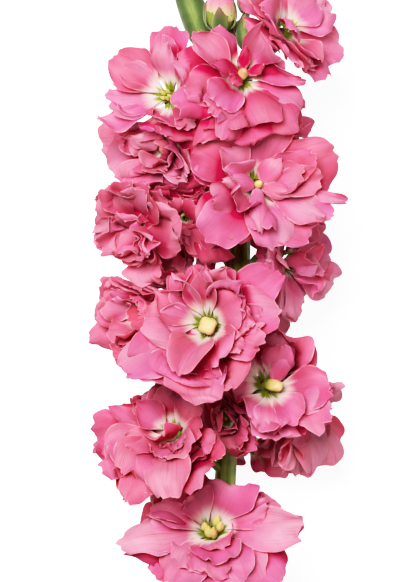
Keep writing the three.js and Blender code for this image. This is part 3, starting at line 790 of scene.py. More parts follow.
BLOOMS: tuple[BloomPlan, ...] = (
    BloomPlan(
        (21.5, 71.2, 48), 48, 26, 14, 21, cool=0.6, eye=5, core=0.55, ripe=0.35, depth=0.5, fullness=0.5,
        extras=(
            (176, 15, 11, 66, SADDLE, 0.2), (215, 13, 10, 60, DOME, -0.2), (130, 14, 10, 62, KEELED, 0.3),
            (250, 15, 11, 84, FRILLED, 0.1), (200, 19, 13, 108, SADDLE, 0.1),
            (160, 19, 13, 92, FRILLED, 0.3), (225, 17, 10, 92, ARCHED, 0.2),
        ),
        petals=(
            (203, 19, 15, 98), (152, 20, 15, 95), (350, 19, 14, 102), (305, 17, 13, 100), (100, 15, 12, 94),
            (45, 17, 13, 92), (255, 15, 12, 88), (15, 14, 11, 66),
        ),
    ),
    BloomPlan(
        (9.1, 57.8, 56), 80, 18, 16, 26, cool=0.45, eye=4.6, blush=0.9, core=0.9, fullness=0.1,
        forms=(
            ARCHED, SADDLE, SADDLE, SADDLE, SADDLE, FRILLED, ARCHED, ARCHED,
            ARCHED, SPOON, FOLDED,
        ),
        extras=(
            (168, 9.5, 6, 76, DOME, -1.3), (88, 6.5, 4, 64, DOME, -1.8), (8, 5.8, 3.8, 60, DOME, -1.7),
            (226, 5.2, 4.8, 70, DOME, -1.0), (198, 4.5, 3, 60, DOME, -2.0), (118, 14, 9, 84, KEELED, -0.3),
            (275, 23, 11, 112, SADDLE, -1.0), (240, 23, 11, 110, ARCHED, -0.6),
            (310, 21, 12, 108, SADDLE, -0.6), (256, 21, 9, 96, ARCHED, 0.1), (212, 20, 11, 104, SADDLE, -0.8),
        ),
        petals=(
            (237, 21, 10, 98), (325, 19, 13, 96), (172, 20, 12, 94), (22, 21.5, 13, 93),
            (197, 17, 12, 86), (5, 19.5, 10, 80), (263, 19.5, 10.5, 84), (233, 17.5, 9.5, 75),
            (294, 17.5, 10.5, 78), (150, 18, 10, 66), (55, 17, 14, 64),
        ),
    ),
    BloomPlan(
        (-11.1, 53, 46), 118, 14, 6, 21, cool=0.6, eye=6, style=HeartStyle.TIPS, tips=0.62, ripe=0.6,
        fullness=0.25,
        extras=(
            (300, 15, 11, 118, SADDLE, -1.0), (255, 16, 11, 118, SADDLE, -0.8), (30, 12, 9, 80, FOLDED, 0.0),
            (105, 16, 9, 94, KEELED, -0.1), (172, 15, 12, 99, SADDLE, 0.0), (150, 14, 9, 88, FOLDED, 0.3),
            (215, 21, 8, 92, FOLDED, 0.3), (325, 13, 9, 90, FRILLED, 0.5), (268, 14, 8, 106, ARCHED, -0.2),
        ),
        petals=(
            (92, 20, 12, 102), (212, 20, 10, 98), (265, 15, 11, 104), (322, 16, 12, 94),
            (350, 14, 10, 86), (203, 16.5, 11, 86), (145, 18, 14, 82), (80, 14, 10, 66),
        ),
    ),
    BloomPlan(
        (-12, 39, 40), 118, -8, 3, 22, 40, 8, cool=0.5, pale=0.1, eye=3.5, blush=0.9, fullness=1.3, closed=3,
        extras=(
            (300, 20, 13, 97, SADDLE, -1.2), (340, 18, 12, 96, FRILLED, -1.0),
            (268, 18, 11, 92, FRILLED, -0.5), (322, 12.5, 9, 70, FOLDED, 0.7), (150, 8, 7, 74, DOME, 1.3),
            (12, 19, 10, 86, SADDLE, -0.7), (285, 19, 12, 88, ARCHED, -0.7), (240, 17, 12, 88, SADDLE, 0.1),
        ),
    ),
    BloomPlan(
        (13.2, 28.3, 55), 78, 10, 8, 22, cool=0.45, eye=5, core=0.75, ripe=0.6, fullness=0.2,
        forms=(
            SADDLE, SADDLE, FRILLED, REFLEXED, SADDLE, FRILLED, KEELED, ARCHED,
            ARCHED, SPOON, FOLDED, ARCHED,
        ),
        extras=(
            (50, 8.4, 8, 82, DOME, 0.5), (338, 9.5, 5.5, 88, DOME, 0.6), (348, 24, 5.5, 92, ARCHED, 0.3),
            (330, 19, 9, 82, FRILLED, 0.5),
            (178, 11, 7, 80, DOME, 0.8), (262, 15, 6.5, 84, DOME, 0.9), (80, 22, 13, 94, FRILLED, 0.2),
            (110, 20, 12, 92, ARCHED, -0.3), (150, 20, 12, 96, SADDLE, -0.7), (228, 21, 13, 92, SADDLE, -0.4),
            (2, 16, 10, 78, FOLDED, 0.3), (285, 17, 13, 90, SADDLE, 0.5), (137, 14, 10, 72, FRILLED, 0.4),
            (98, 20, 14, 116, SADDLE, -1.1), (125, 19, 14, 122, SADDLE, -1.5),
            (150, 17, 12, 118, SADDLE, -1.3),
        ),
        petals=(
            (19, 24, 16, 98), (57, 24.5, 16, 102), (312, 21.5, 15, 96), (218, 23, 17, 100),
            (146, 23, 14, 104), (122, 19, 13, 92), (335, 22.5, 10, 86), (245, 18, 12, 84),
            (200, 16.5, 11, 68), (30, 18, 11, 66), (165, 13, 12, 52), (265, 15, 9, 58),
        ),
    ),
    BloomPlan(
        (-18.5, 16.5, 39), 135, -24, 13, 21, cool=0.15, pale=0.1, eye=2, depth=0.6, fullness=1.4, closed=5,
        extras=(
            (70, 16, 13, 84, FRILLED, -0.3), (112, 13, 12, 80, SADDLE, 0.0), (48, 18, 13, 88, FRILLED, -0.8),
            (170, 13, 10, 62, FRILLED, 0.6), (0, 13, 9, 60, FOLDED, 0.0), (200, 10, 9, 70, DOME, 0.4),
            (330, 10, 8, 66, DOME, 0.2), (90, 9, 9, 66, DOME, 0.0), (268, 22, 14, 92, SADDLE, 0.5),
        ),
        petals=(
            (268, 20, 15, 98), (232, 18, 15, 100), (190, 18, 15, 102), (148, 17, 15, 104), (108, 17, 14, 102),
            (55, 17, 14, 102), (12, 17, 14, 102), (245, 13, 12, 68),
        ),
    ),
    BloomPlan(
        # This bloom lies low under its neighbours: its pale below zero is painted shade
        (-6.5, 21, 40), 112, -16, 0, 20, 20, 9, cool=0.2, pale=-0.35, eye=2, core=0.4, blush=1.0, ripe=0.3,
        fullness=1.4, closed=5,
        extras=(
            (108, 18, 13, 86, SADDLE, -0.6), (75, 18, 12, 86, FRILLED, -0.5), (140, 17, 12, 84, FOLDED, -0.7),
            # The small domes' tones below zero paint the shade in the bloom's crowded centre
            (30, 8, 8, 60, DOME, -0.4), (210, 8, 8, 60, DOME, -0.6), (120, 7, 6, 50, DOME, -0.5),
            (300, 18, 9, 84, ROLLED, -0.5), (318, 19, 9, 96, FOLDED, -0.4),
        ),
    ),
    BloomPlan(
        (23, 8, 36), 34, 2, 2, 20, cool=0.85, pale=0.35, eye=3, depth=0.35, fullness=1.0, closed=4,
        extras=(
            (205, 21, 13, 100, SADDLE, 0.2), (235, 21, 13, 98, FRILLED, 0.3), (262, 16, 12, 96, SADDLE, 0.3),
            (186, 20, 12, 94, FRILLED, 0.2),
        ),
        petals=(
            (180, 18, 14, 104), (350, 18, 15, 106), (222, 15, 14, 104), (300, 14, 13, 108), (30, 18, 14, 102),
            (130, 15, 13, 98), (335, 17, 13, 80), (62, 14, 12, 74),
        ),
    ),
    BloomPlan(
        (-0.3, -9.2, 51), 102, 12, 11, 24, cool=0.5, eye=7, style=HeartStyle.BLOCK, core=1.1, blush=0.35,
        fullness=0.35,
        forms=(
            SADDLE, SADDLE, SPOON, FRILLED, SADDLE, FRILLED, SADDLE, KEELED,
            POINTED, POINTED, POINTED, POINTED,
        ),
        extras=(
            (238, 7.5, 9, 62, FRILLED, 0.4), (302, 12, 9, 72, FRILLED, 0.3), (326, 15, 8, 78, FOLDED, 0.3),
            (4, 16, 9, 84, FRILLED, 0.2), (122, 17, 9, 64, POINTED, 0.5), (84, 16, 9, 60, POINTED, 0.3),
            (176, 14, 9, 66, POINTED, 0.2), (258, 20, 15, 74, FOLDED, 0.4),
            (240, 29, 15, 99, SADDLE, 0.5), (264, 30, 15, 101, SADDLE, 0.3), (218, 28, 14, 100, SADDLE, 0.2),
            (38, 24, 12, 104, FRILLED, -0.6),
        ),
        petals=(
            (219, 27, 18, 102), (256, 27, 20, 98), (86, 20, 15, 98), (296, 23, 15, 96),
            (12, 21, 14, 90), (332, 22.5, 10, 85), (183, 18, 14, 80), (262, 18.5, 15, 80),
            (148, 17.5, 13, 70), (68, 16.5, 13, 68), (103, 16.5, 10, 58), (40, 18, 12, 54),
        ),
    ),
    BloomPlan((-18.5, -7.5, 34), 136, 2, 0, 21, 12, 9, cool=0.2, eye=4, fullness=1.4, closed=4),
    BloomPlan((-7.5, 6, 24), 150, 30, 0, 19, 25, 7, cool=0.4, pale=-0.1, eye=4, fullness=1.2, closed=4),
    BloomPlan(
        (16.6, -25.6, 44), 68, 16, 6, 22, cool=0.75, eye=6, blush=0.6, style=HeartStyle.BLOCK, core=0.8,
        ripe=0.75, fullness=0.4,
        extras=(
            (52, 10, 7, 78, DOME, 0.3), (262, 13, 10, 84, SADDLE, 0.4), (300, 15, 11, 96, FRILLED, 0.0),
            (150, 20, 12, 98, SADDLE, -0.5), (118, 17, 11, 95, FRILLED, -0.4),
        ),
        petals=(
            (343, 22, 13, 100), (35, 20, 13, 102), (268, 15, 13, 98), (56, 19.5, 15, 92),
            (172, 16, 14, 92), (322, 20, 12, 88), (240, 14, 12, 80),
            (350, 17.5, 12, 76), (300, 13.5, 10, 66), (74, 11.5, 9, 48),
        ),
    ),
    BloomPlan(
        (25, -33.5, 30), 40, -44, 0, 21, cool=0.2, pale=0.3, eye=3, depth=0.2, fullness=1.0, closed=3,
        extras=(
            (250, 17, 14, 50, SADDLE, 0.7), (282, 19, 14, 52, SADDLE, 0.8), (308, 19.5, 14, 54, SADDLE, 0.6),
            (218, 16, 14, 54, SADDLE, 0.5), (336, 16, 13, 56, FRILLED, 0.4),
        ),
        petals=(
            (272, 21, 16, 100), (228, 19, 15, 100), (318, 21, 15, 98), (5, 15, 14, 108),
            (180, 17, 13, 100), (60, 13, 12, 90), (292, 14, 12, 64),
        ),
    ),
    BloomPlan(
        (-10.2, -38.5, 41), 112, 26, 13, 25, cool=0.15, pale=-0.1, eye=4.5, core=0.8, ripe=0.6,
        fullness=1.2, closed=2,
        extras=(
            (300, 10, 8, 62, FRILLED, -0.2), (330, 9, 7, 52, ROLLED, 0.1), (265, 11, 8, 60, SPOON, 0.1),
            (215, 12, 9, 70, FRILLED, 0.0), (350, 12, 9, 70, FRILLED, -0.2), (284, 24, 13, 98, SADDLE, 0.6),
            (250, 23, 12, 100, FRILLED, 0.0),
        ),
        petals=(
            (300, 27, 16, 114), (235, 21, 14, 112), (180, 23, 14, 104), (335, 19, 13, 104),
            (205, 21, 14, 100), (150, 20, 14, 92), (270, 17, 13, 96), (118, 16, 13, 80),
            (80, 15, 11, 76), (310, 14, 11, 78),
        ),
    ),
    BloomPlan(
        (5, -35, 35), 96, -8, 4, 19, 70, 6, cool=0.2, pale=-0.25, eye=2, core=0.4, blush=1.0, fullness=1.5,
        closed=5,
    ),
    BloomPlan(
        (1.1, -65.4, 40), 92, 36, 8, 24, cool=0.9, eye=5.5, style=HeartStyle.TIPS, tips=1.1, ripe=0.85,
        fullness=0.7,
        forms=(
            REFLEXED, FRILLED, SADDLE, FRILLED, SADDLE, FOLDED, SADDLE, FRILLED,
            FRILLED, SADDLE, SPOON,
        ),
        extras=(
            (292, 9.5, 11, 56, FRILLED, 0.1), (268, 15, 12, 86, FRILLED, 0.3), (292, 17, 13, 94, SADDLE, 0.0),
            (312, 20, 13, 104, SADDLE, 0.3), (172, 17, 8, 80, FOLDED, 0.3), (20, 16, 10, 76, FRILLED, 0.6),
            (240, 20, 13, 100, SADDLE, 0.1), (192, 25, 13, 92, REFLEXED, 1.1),
            (280, 23, 15, 110, SADDLE, -0.2), (102, 18, 10, 100, SADDLE, -1.0),
            (352, 24, 13, 92, FRILLED, 1.0),
        ),
        petals=(
            (188, 25, 15, 102), (6, 25.5, 15, 100), (328, 24, 16, 112), (258, 24, 18, 120),
            (92, 19, 15, 98), (146, 20, 17, 88), (38, 21, 15, 92), (222, 20, 14, 104),
            (252, 15, 16, 84), (62, 17, 16, 70), (128, 14, 13, 64),
        ),
    ),
    BloomPlan((11.9, -43, 8.5), 305, 6, 0, 15, 60, 6, cool=0.7, pale=0.2),
    BloomPlan((18.5, 46, 28), 14, 8, 0, 18, 3, 6, cool=0.6, pale=0.1, eye=4, fullness=1.2, closed=3),
    BloomPlan((-7, 31, 12), 235, 12, 0, 22, 27, 6, cool=0.3),
    BloomPlan((19.5, 25, 13), 310, 10, 0, 22, 55, 6, cool=0.5),
    BloomPlan((4, -14, 8), 266, 8, 0, 21, 14, 7, cool=0.35),
    BloomPlan((-6, -61, 7.5), 240, 14, 0, 18, 48, 6, cool=0.5),
)

GOLDEN_TURN = 137.5
PETAL_LENGTH, PETAL_WIDTH, PETAL_OPEN = (1.0, 0.56), (0.8, 0.84), (110.0, 48.0)
ROOT_RADIUS, ROOT_HEIGHT = (0.9, 2.2), (-3.3, -1.6)
DOME_ROOT = (1.2, 1.8)


@dataclass(frozen=True)
class Petal:
    """One petal's form: where it grows, its size, and how it bends, cups, twists and crinkles."""

    root: tuple[float, float]
    azimuth: float
    length: float
    width: float
    opening: tuple[float, float]
    cup: tuple[float, float]
    twist: float = 0.0
    side: float = 0.0
    wave: float = 0.0
    phase: float = 0.0
    seed: float = 0.0
    layer: float = 0.0
    form: Form = SADDLE
    tone: float = 0.0
    nested: bool = True

    def margin(self, across: Array, along: Array) -> Array:
        """How near each point is to the margin: 1 on it and 0 from three millimetres in."""
        side = (1 - np.abs(across)) * self.width / 2 * self.outline(along, 0.3)
        return 1 - np.clip(np.minimum(side, (1 - along) * self.length) / 3, 0, 1)

    def outline(self, v: Array, fall_share: float = 0.42) -> Array:
        """The half width as a share of its widest, at a share v of the length."""
        fall = np.maximum(0, (v - 0.62) / 0.38)
        return (0.1 + 0.9 * smooth(0, 0.62, v)) * (1 - fall_share * fall * fall)


@dataclass
class Bloom:
    """One bloom: its place, its neighbours' planes, and the making of its petals and heart."""

    plan: BloomPlan
    index: int
    heart: Array = field(init=False)
    axis: Array = field(init=False)
    up: Array = field(init=False)
    right: Array = field(init=False)
    planes: tuple[Array, Array] = field(init=False)
    sides: list[int] = field(init=False)
    across_steps: int = 19
    along_steps: int = 23
    neighbour_gap: float = 0.7
    loose_overlap: float = 4.2
    bud_gap: float = 0.5
    stem_gap: float = 1.0
    table_gap: float = 0.2

    def __post_init__(self) -> None:
        """Works out the bloom's own directions."""
        face, rise = math.radians(self.plan.face), math.radians(self.plan.rise)
        self.heart = np.array(self.plan.heart, float)
        level = math.cos(rise)
        self.axis = np.array([math.cos(face) * level, math.sin(rise), math.sin(face) * level])
        self.up = unit(np.array([0, 1, 0]) - self.axis * self.axis[1])
        self.right = np.cross(self.up, self.axis)

    @property
    def name(self) -> str:
        """The bloom's name, as in the part."""
        return f"bloom_{self.index + 1:02d}"

    def meet(self, blooms: list["Bloom"]) -> None:
        """Finds the planes that part this bloom from its neighbours.

        Args:
            blooms: All blooms.
        """
        normals, limits, sides = [], [], []
        for other in blooms:
            between = other.heart - self.heart
            if other is self or np.linalg.norm(between) > 60:
                continue
            lift = np.array([0, 0, other.plan.over - self.plan.over])
            normal = unit(between + 2 * (other.axis - self.axis) + lift)
            share = self.plan.reach / (self.plan.reach + other.plan.reach)
            normals.append(normal)
            limits.append(self.heart @ normal + between @ normal * share)
            sides.append(1 if other.index > self.index else -1)
        self.planes = np.array(normals), np.array(limits)
        self.sides = sides

    def rows(self) -> list[Row]:
        """The bloom's own petals, outermost first.

        Returns:
            The azimuth, length, width and opening of each.
        """
        plan = self.plan
        if isinstance(plan.petals, tuple):
            return list(plan.petals)
        rows = []
        for k in range(plan.petals):
            step = k / (plan.petals - 1)
            seed = self.index * 37 + k + 0.5
            length = plan.reach * mix(PETAL_LENGTH, step**1.3) * (1 + 0.08 * sway(seed))
            rows.append((
                plan.turn + GOLDEN_TURN * k + 10 * sway(seed + 0.1),
                length,
                length * mix(PETAL_WIDTH, step) * (1 + 0.1 * sway(seed + 0.2)),
                mix(PETAL_OPEN, step) + 4 * sway(seed + 0.3),
            ))
        return rows

    def crowding(self, rows: list[Row]) -> Array:
        """How much less or more the petals open at each of 24 azimuths, because of the neighbours.

        Args:
            rows: The petals' rows.

        Returns:
            The scale of the opening for each azimuth.
        """
        sectors = 24
        length, opened = max(r[1] for r in rows) * 0.95, max(r[3] for r in rows) * 0.95
        options = 0.4 + 0.05 * np.arange(17)
        strain = np.zeros((sectors, len(options)))
        for k in range(sectors):
            for i, scale in enumerate(options):
                opening = (0.62 * opened * scale + 4, opened * scale)
                ends = self.middle_line(360 * k / sectors, length, opening, np.array([0.75, 1.0]))
                normals, limits = self.planes
                past = np.maximum((ends @ normals.T - limits).max(1), -ends[:, 2])
                strain[k, i] = 0.1 * max(0, past.max()) + 0.5 * abs(scale - 1)
        chosen = np.ones(sectors)
        for _ in range(4):
            held = chosen.copy()
            for k in range(sectors):
                sides = abs(options - held[(k + 1) % sectors]) + abs(options - held[k - 1])
                chosen[k] = options[int(np.argmin(np.round(strain[k] + sides, 9)))]
        return chosen

    def petals(self) -> list[Petal]:
        """The part's own petals, fuller layers between them, small ones about the heart, and single ones.

        Returns:
            The petals, outermost first, with the single ones last.
        """
        rows = self.rows()
        crowding = self.crowding(rows)
        made = []
        for k, row in enumerate(rows):
            step = k / (len(rows) - 1)
            made.append(self.petal(row, step, crowding, self.index * 37 + k + 1, self.form_of(k)))
            for copy in range(2 if row[1] > 11 else 0):
                if draw(self.index * 53 + k + 0.7 + 0.11 * copy) > self.plan.fullness - copy:
                    continue
                seed = 1000 * (copy + 1) + self.index * 37 + k + 1
                side = (1 if draw(seed) < 0.5 else -1) if copy == 0 else 0.2
                azimuth, length, width, opened = row[:4]
                between = (
                    azimuth + side * (24 + 12 * draw(seed + 0.1)),
                    length * (0.74 + 0.16 * draw(seed + 0.2)),
                    width * (0.86 + 0.2 * draw(seed + 0.3)),
                    opened - 8 - 10 * draw(seed + 0.4),
                )
                inner = min(1, step + 0.5 / len(rows))
                made.append(self.petal(between, inner, crowding, seed, Form.of(seed)))
        for k in range(self.plan.closed):
            seed = 4000 + self.index * 37 + k
            azimuth = 40 * self.index + 128 * k + 14 * sway(seed)
            opened = 44 - 30 * k / max(1, self.plan.closed - 1)
            row = (azimuth, 11.5 - 0.7 * k + 1.2 * sway(seed + 0.1), 10.5 - 0.5 * k, opened)
            made.append(self.petal(row, 1.0, np.ones(24), seed, Form.of(seed)))
        for k, (azimuth, length, width, opened, form, tone) in enumerate(self.plan.extras):
            seed = 3000 + self.index * 37 + k
            extra = self.petal((azimuth, length, width, opened), 1.0, crowding, seed, form)
            made.append(replace(extra, tone=tone, nested=False))
        made.sort(key=lambda petal: -petal.opening[1] if petal.nested else 1000)
        return [replace(petal, layer=k) for k, petal in enumerate(made)]

    def form_of(self, k: int) -> Form:
        """The form of the bloom's own petal number k."""
        forms = self.plan.forms
        return forms[k] if k < len(forms) else Form.of(self.index * 37 + k + 1)

    def petal(self, row: Row, step: float, crowding: Array, seed: float, form: Form) -> Petal:
        """One petal from its row.

        Args:
            row: Azimuth, length, width and opening.
            step: 0 for the outermost petal and 1 for the innermost.
            crowding: The scale of the opening at each of 24 azimuths.
            seed: Its own seed.
            form: How it is bent.

        Returns:
            The petal.
        """
        azimuth, length, width, opened = row[:4]
        place = (azimuth / 360 % 1) * 24
        low = int(place)
        bent = opened * (crowding[low] + (place - low) * (crowding[(low + 1) % 24] - crowding[low]))
        return Petal(
            root=DOME_ROOT if form is DOME else (mix(ROOT_RADIUS, step), mix(ROOT_HEIGHT, step)),
            azimuth=azimuth,
            length=length,
            width=width,
            opening=(0.62 * bent + 4, bent),
            cup=(70 - 0.52 * opened, 78 - 0.88 * opened + 12 * sway(seed + 0.5)),
            twist=9 * sway(seed + 0.6),
            side=0.08 * sway(seed + 0.7),
            wave=0.8,
            phase=draw(seed + 0.8),
            seed=seed,
            form=form,
            tone=0.55 * sway(seed + 0.37),
        )

    def middle_line(self, azimuth: float, length: float, opening: Row, along: Array) -> Array:
        """Points on the middle line of a plain petal.

        Args:
            azimuth: Its azimuth.
            length: Its length.
            opening: Its slope from the bloom's axis at its foot and its tip.
            along: Places along, from 0 to 1.

        Returns:
            The points.
        """
        start, end = (math.radians(a) for a in opening)
        angle = start + (end - start) * along
        arc = length / (end - start)
        radial = 1 + arc * (math.cos(start) - np.cos(angle))
        axial = -3 + arc * (np.sin(angle) - math.sin(start))
        return self.heart + self.outward(azimuth) * radial[:, None] + self.axis * axial[:, None]

    def outward(self, azimuth: float) -> Array:
        """The direction out from the bloom's axis at an azimuth."""
        turn = math.radians(azimuth)
        return self.right * math.cos(turn) + self.up * math.sin(turn)

    def ripple(self, petal: Petal, across: Array, along: Array) -> Array:
        """The slow waves of a petal's surface.

        Args:
            petal: The petal.
            across: Places across, from -1 to 1.
            along: Places along, from 0 to 1.

        Returns:
            How far they raise each place.
        """
        return petal.wave * (
            across**2 * np.sin(6.283 * (1.4 * along + petal.phase) + 2 * np.sign(across)) * along
            + 0.6 * smooth(0.5, 1, along) * np.sin(3.4 * across + 6.283 * petal.phase)
        )

    def placed(
        self, petal: Petal, along: Array, angle: Array, radial: Array, axial: Array,
        sideways: Array, raised: Array,
    ) -> Array:
        """Turns a petal's own measures into points.

        Args:
            petal: The petal.
            along: Places along, from 0 to 1.
            angle: Its slope from the bloom's axis.
            radial: Its middle line's distance from the axis.
            axial: Its middle line's height along the axis.
            sideways: The distance across from the middle line.
            raised: The height above the middle line's slope.

        Returns:
            The points.
        """
        turn = math.radians(petal.twist) * along
        tangential = sideways * np.cos(turn) - raised * np.sin(turn) + petal.side * petal.length * along**2
        normal = sideways * np.sin(turn) + raised * np.cos(turn)
        out = self.outward(petal.azimuth)
        rounds = np.cross(self.axis, out)
        return (
            self.heart
            + out * (radial - normal * np.cos(angle))[..., None]
            + self.axis * (axial + normal * np.sin(angle))[..., None]
            + rounds * tangential[..., None]
        )

    def fine_surface(self, petal: Petal, u: Array, v: Array) -> Array:
        """A petal's middle surface with its form, crinkled edge, rolled sides and pleats.

        Args:
            petal: The petal.
            u: Places across, from -1 to 1.
            v: Places along, from 0 to 1.

        Returns:
            The points, rows along and columns across.
        """
        across, along = np.meshgrid(u, v)
        s = petal.seed
        petal = replace(petal, twist=petal.twist + 15 * sway(s + 0.83))
        cup_more, roll, curl, fold, frill = (
            a * (0.75 + 0.5 * draw(s + 0.21 + 0.1 * i)) for i, a in enumerate(petal.form.value)
        )
        margin = np.arctan2(across * 1.1, (along - 0.42) * 1.5)
        near = smooth(0.25, 0.8, along)

        def waves(parts: tuple[Row, ...], seed: float) -> Array:
            """A sum of waves along the petal's margin."""
            return sum(a * np.sin(f * margin + 6.283 * draw(seed + 0.07 * f)) for a, f in parts)

        ragged = waves(((0.022, 2), (0.016, 5), (0.014, 9), (0.012, 14)), s)
        notch = 0.07 * max(0.0, sway(s + 0.31)) * np.exp(-((across / 0.25) ** 2)) * smooth(0.75, 1, along)
        reach = along * (1 - 0.1 * across**2 * along**2) * (1 + near * (ragged - notch))
        fall = 0.9 if petal.form is POINTED else 0.15 + 0.45 * draw(s + 0.57)
        half = petal.width / 2 * 1.1 * petal.outline(along, fall) * (1 + near * ragged)
        if petal.form is DOME:
            half = petal.width / 2 * np.sin(np.pi * (0.1 + 0.82 * along)) ** 0.7
        start, end = (math.radians(a) for a in petal.opening)
        flutter = 1 + 0.35 * np.sin(2.3 * across + s)
        tip = smooth(0.55, 1.1, reach) * flutter - 0.25 * reach
        angle = start + (end - start) * reach + math.radians(curl) * tip
        before = np.vstack([np.full((1, angle.shape[1]), start), angle[:-1]])
        step = np.diff(reach, axis=0, prepend=0) * petal.length
        radial = petal.root[0] + np.cumsum((np.sin(angle) + np.sin(before)) / 2 * step, axis=0)
        axial = petal.root[1] + np.cumsum((np.cos(angle) + np.cos(before)) / 2 * step, axis=0)
        cup = petal.cup[0] + cup_more + (petal.cup[1] - petal.cup[0]) * along
        slope = np.radians(
            cup * across
            + roll * np.sign(across) * smooth(0.55, 1, np.abs(across)) * near
            + fold * np.tanh(across / 0.12) * smooth(0.1, 0.5, along)
        )
        gap = np.diff(across, axis=1)
        middle = (across.shape[1] - 1) // 2
        flat = np.cumsum(gap * np.cos((slope[:, 1:] + slope[:, :-1]) / 2), axis=1)
        rise = np.cumsum(gap * np.sin((slope[:, 1:] + slope[:, :-1]) / 2), axis=1)
        flat = np.hstack([np.zeros((len(v), 1)), flat])
        rise = np.hstack([np.zeros((len(v), 1)), rise])
        sideways = half * (flat - flat[:, middle : middle + 1])
        raised = half * (rise - rise[:, middle : middle + 1]) + self.ripple(petal, across, along)
        edge = 1 - (1 - np.abs(across) ** 2.5) * (1 - smooth(0.6, 1, along) ** 1.5)
        crinkle = waves(((0.7, 3), (0.6, 6), (0.4, 10), (0.22, 16)), s + 0.5) * frill * edge
        rib = 0.25 * np.exp(-((across / 0.14) ** 2)) * draw(s + 0.61)
        pleat = 0.1 * np.sin(10 * across * (1 - 0.2 * along) + s) - rib
        raised = raised + near * crinkle + pleat * smooth(0.15, 0.5, along)
        return self.placed(petal, along, angle, radial, axial, sideways, raised)

    def nest(self, surfaces: list[Array]) -> list[Array]:
        """Bends outer petals back where inner ones would pass through them.

        Args:
            surfaces: The petals' surfaces, outermost first.

        Returns:
            The bent surfaces, in the same order.
        """
        rounds, depths, depth_step = 90, 30, 1.1
        centre = self.heart - 3.3 * self.axis
        ring = (np.arange(depths) + 0.5) * depth_step
        opened = np.where(ring < 8.8, np.arcsin(np.minimum(1, 2.2 / ring)), 0)
        held = np.broadcast_to(opened, (rounds, depths)).copy()
        bent: list[Array] = []
        for surface in reversed(surfaces):
            rel = surface - centre
            height, x, y = rel @ self.axis, rel @ self.right, rel @ self.up
            flat = np.hypot(x, y)
            far = np.hypot(flat, height)
            angle = np.arctan2(flat, height)
            round_at = (np.arctan2(y, x) / (2 * np.pi) % 1) * rounds
            depth_at = np.clip(far / depth_step - 0.5, 0, depths - 1.001)
            i, j = np.floor(round_at).astype(int), np.floor(depth_at).astype(int)
            s, t = round_at - i, depth_at - j
            i, k = i % rounds, (i + 1) % rounds
            least = (
                held[i, j] * (1 - s) * (1 - t) + held[k, j] * s * (1 - t)
                + held[i, j + 1] * (1 - s) * t + held[k, j + 1] * s * t
            )
            gap = 0.55 / np.maximum(far, 3)
            soft = 0.06
            past = (least + gap - angle) / soft
            push = soft * np.where(past > 20, past, np.log1p(np.exp(np.minimum(past, 20))))
            push = np.where(least > 0.02, np.minimum(push, 0.6), 0) * smooth(1.5, 5, far)
            angle = angle + push
            turned = np.arctan2(y, x)
            out = np.cos(turned)[..., None] * self.right + np.sin(turned)[..., None] * self.up
            way = np.cos(angle)[..., None] * self.axis + np.sin(angle)[..., None] * out
            bent.append(centre + far[..., None] * way)
            near = np.round(depth_at).astype(int)
            fresh = np.zeros_like(held)
            np.maximum.at(fresh, (np.round(round_at).astype(int) % rounds, near), angle)
            wide = np.maximum.reduce([fresh, np.roll(fresh, 1, 0), np.roll(fresh, -1, 0)])
            wide[:, 1:] = np.maximum(wide[:, 1:], fresh[:, :-1])
            wide[:, :-1] = np.maximum(wide[:, :-1], fresh[:, 1:])
            held = np.maximum(held, wide)
        return bent[::-1]

    def hidden(self, surfaces: list[Array]) -> list[Array]:
        """How deep each point lies under the bloom's other petals, seen along its axis.

        Args:
            surfaces: The petals' surfaces.

        Returns:
            A share from 0 in the open to 1 well covered, for each surface's points; the petals' painted shade
            follows it.
        """
        cells, cell = 64, 1.1
        places = []
        top = np.full((cells, cells), -40.0)
        for surface in surfaces:
            rel = surface - self.heart
            x, y = rel @ self.right / cell + cells / 2, rel @ self.up / cell + cells / 2
            x, y, height = np.clip(x, 1, cells - 2.01), np.clip(y, 1, cells - 2.01), rel @ self.axis
            places.append((x, y, height))
            np.maximum.at(top, (np.round(x).astype(int), np.round(y).astype(int)), height)
        near = [np.roll(np.roll(top, i, 0), j, 1) for i in (-1, 0, 1) for j in (-1, 0, 1)]
        soft = np.mean([np.maximum(n, top - 4) for n in near], axis=0)
        shares = []
        for x, y, height in places:
            i, j = np.floor(x).astype(int), np.floor(y).astype(int)
            s, t = x - i, y - j
            low = soft[i, j] * (1 - s) + soft[i + 1, j] * s
            high = soft[i, j + 1] * (1 - s) + soft[i + 1, j + 1] * s
            shares.append(smooth(0.6, 4.5, low * (1 - t) + high * t - height))
        return shares

    def settle(self, points: Array, layer: float, loose: bool = False) -> Array:
        """Presses a petal's points back from its neighbours, the stem, the buds and the table.

        Args:
            points: The surface.
            layer: The petal's place from the outermost in, which keeps pressed petals apart.
            loose: Whether it may lie over its neighbours' edges.

        Returns:
            The pressed surface.
        """
        p = points.copy()
        normals, limits = self.planes
        spare = self.neighbour_gap + (0.04 * layer + 1.3 * draw(self.index + 0.77 * layer))
        spare -= self.loose_overlap if loose else 0
        x, y, z = np.moveaxis(p, -1, 0)
        wave = 0.9 * (np.sin(0.42 * x + 1.3) + np.sin(0.36 * y + 0.4) + np.sin(0.5 * z))
        for _ in range(2):
            for normal, limit, side in zip(normals, limits, self.sides):
                over = p @ normal - limit + spare + side * wave
                p += normal * (ease(over, 4) - over)[..., None]
        for foot, tip, radius in BUD_SPINES:
            along = np.clip(((p - foot) @ (tip - foot)) / ((tip - foot) @ (tip - foot)), 0, 1)
            away = p - (foot + along[..., None] * (tip - foot))
            gap = np.linalg.norm(away, axis=-1) - radius - self.bud_gap
            p += unit(away) * (-ease(-gap, 1.5) - gap)[..., None]
        middle, radius = stem_at(p[..., 1])
        away = p - middle
        away[..., 1] = 0
        gap = np.linalg.norm(away, axis=-1) - radius - self.stem_gap
        p += unit(away) * (-ease(-gap, 4) - gap)[..., None]
        lift = self.table_gap + 0.05 * layer
        p[..., 2] = lift - ease(lift - p[..., 2], 1.5)
        return p


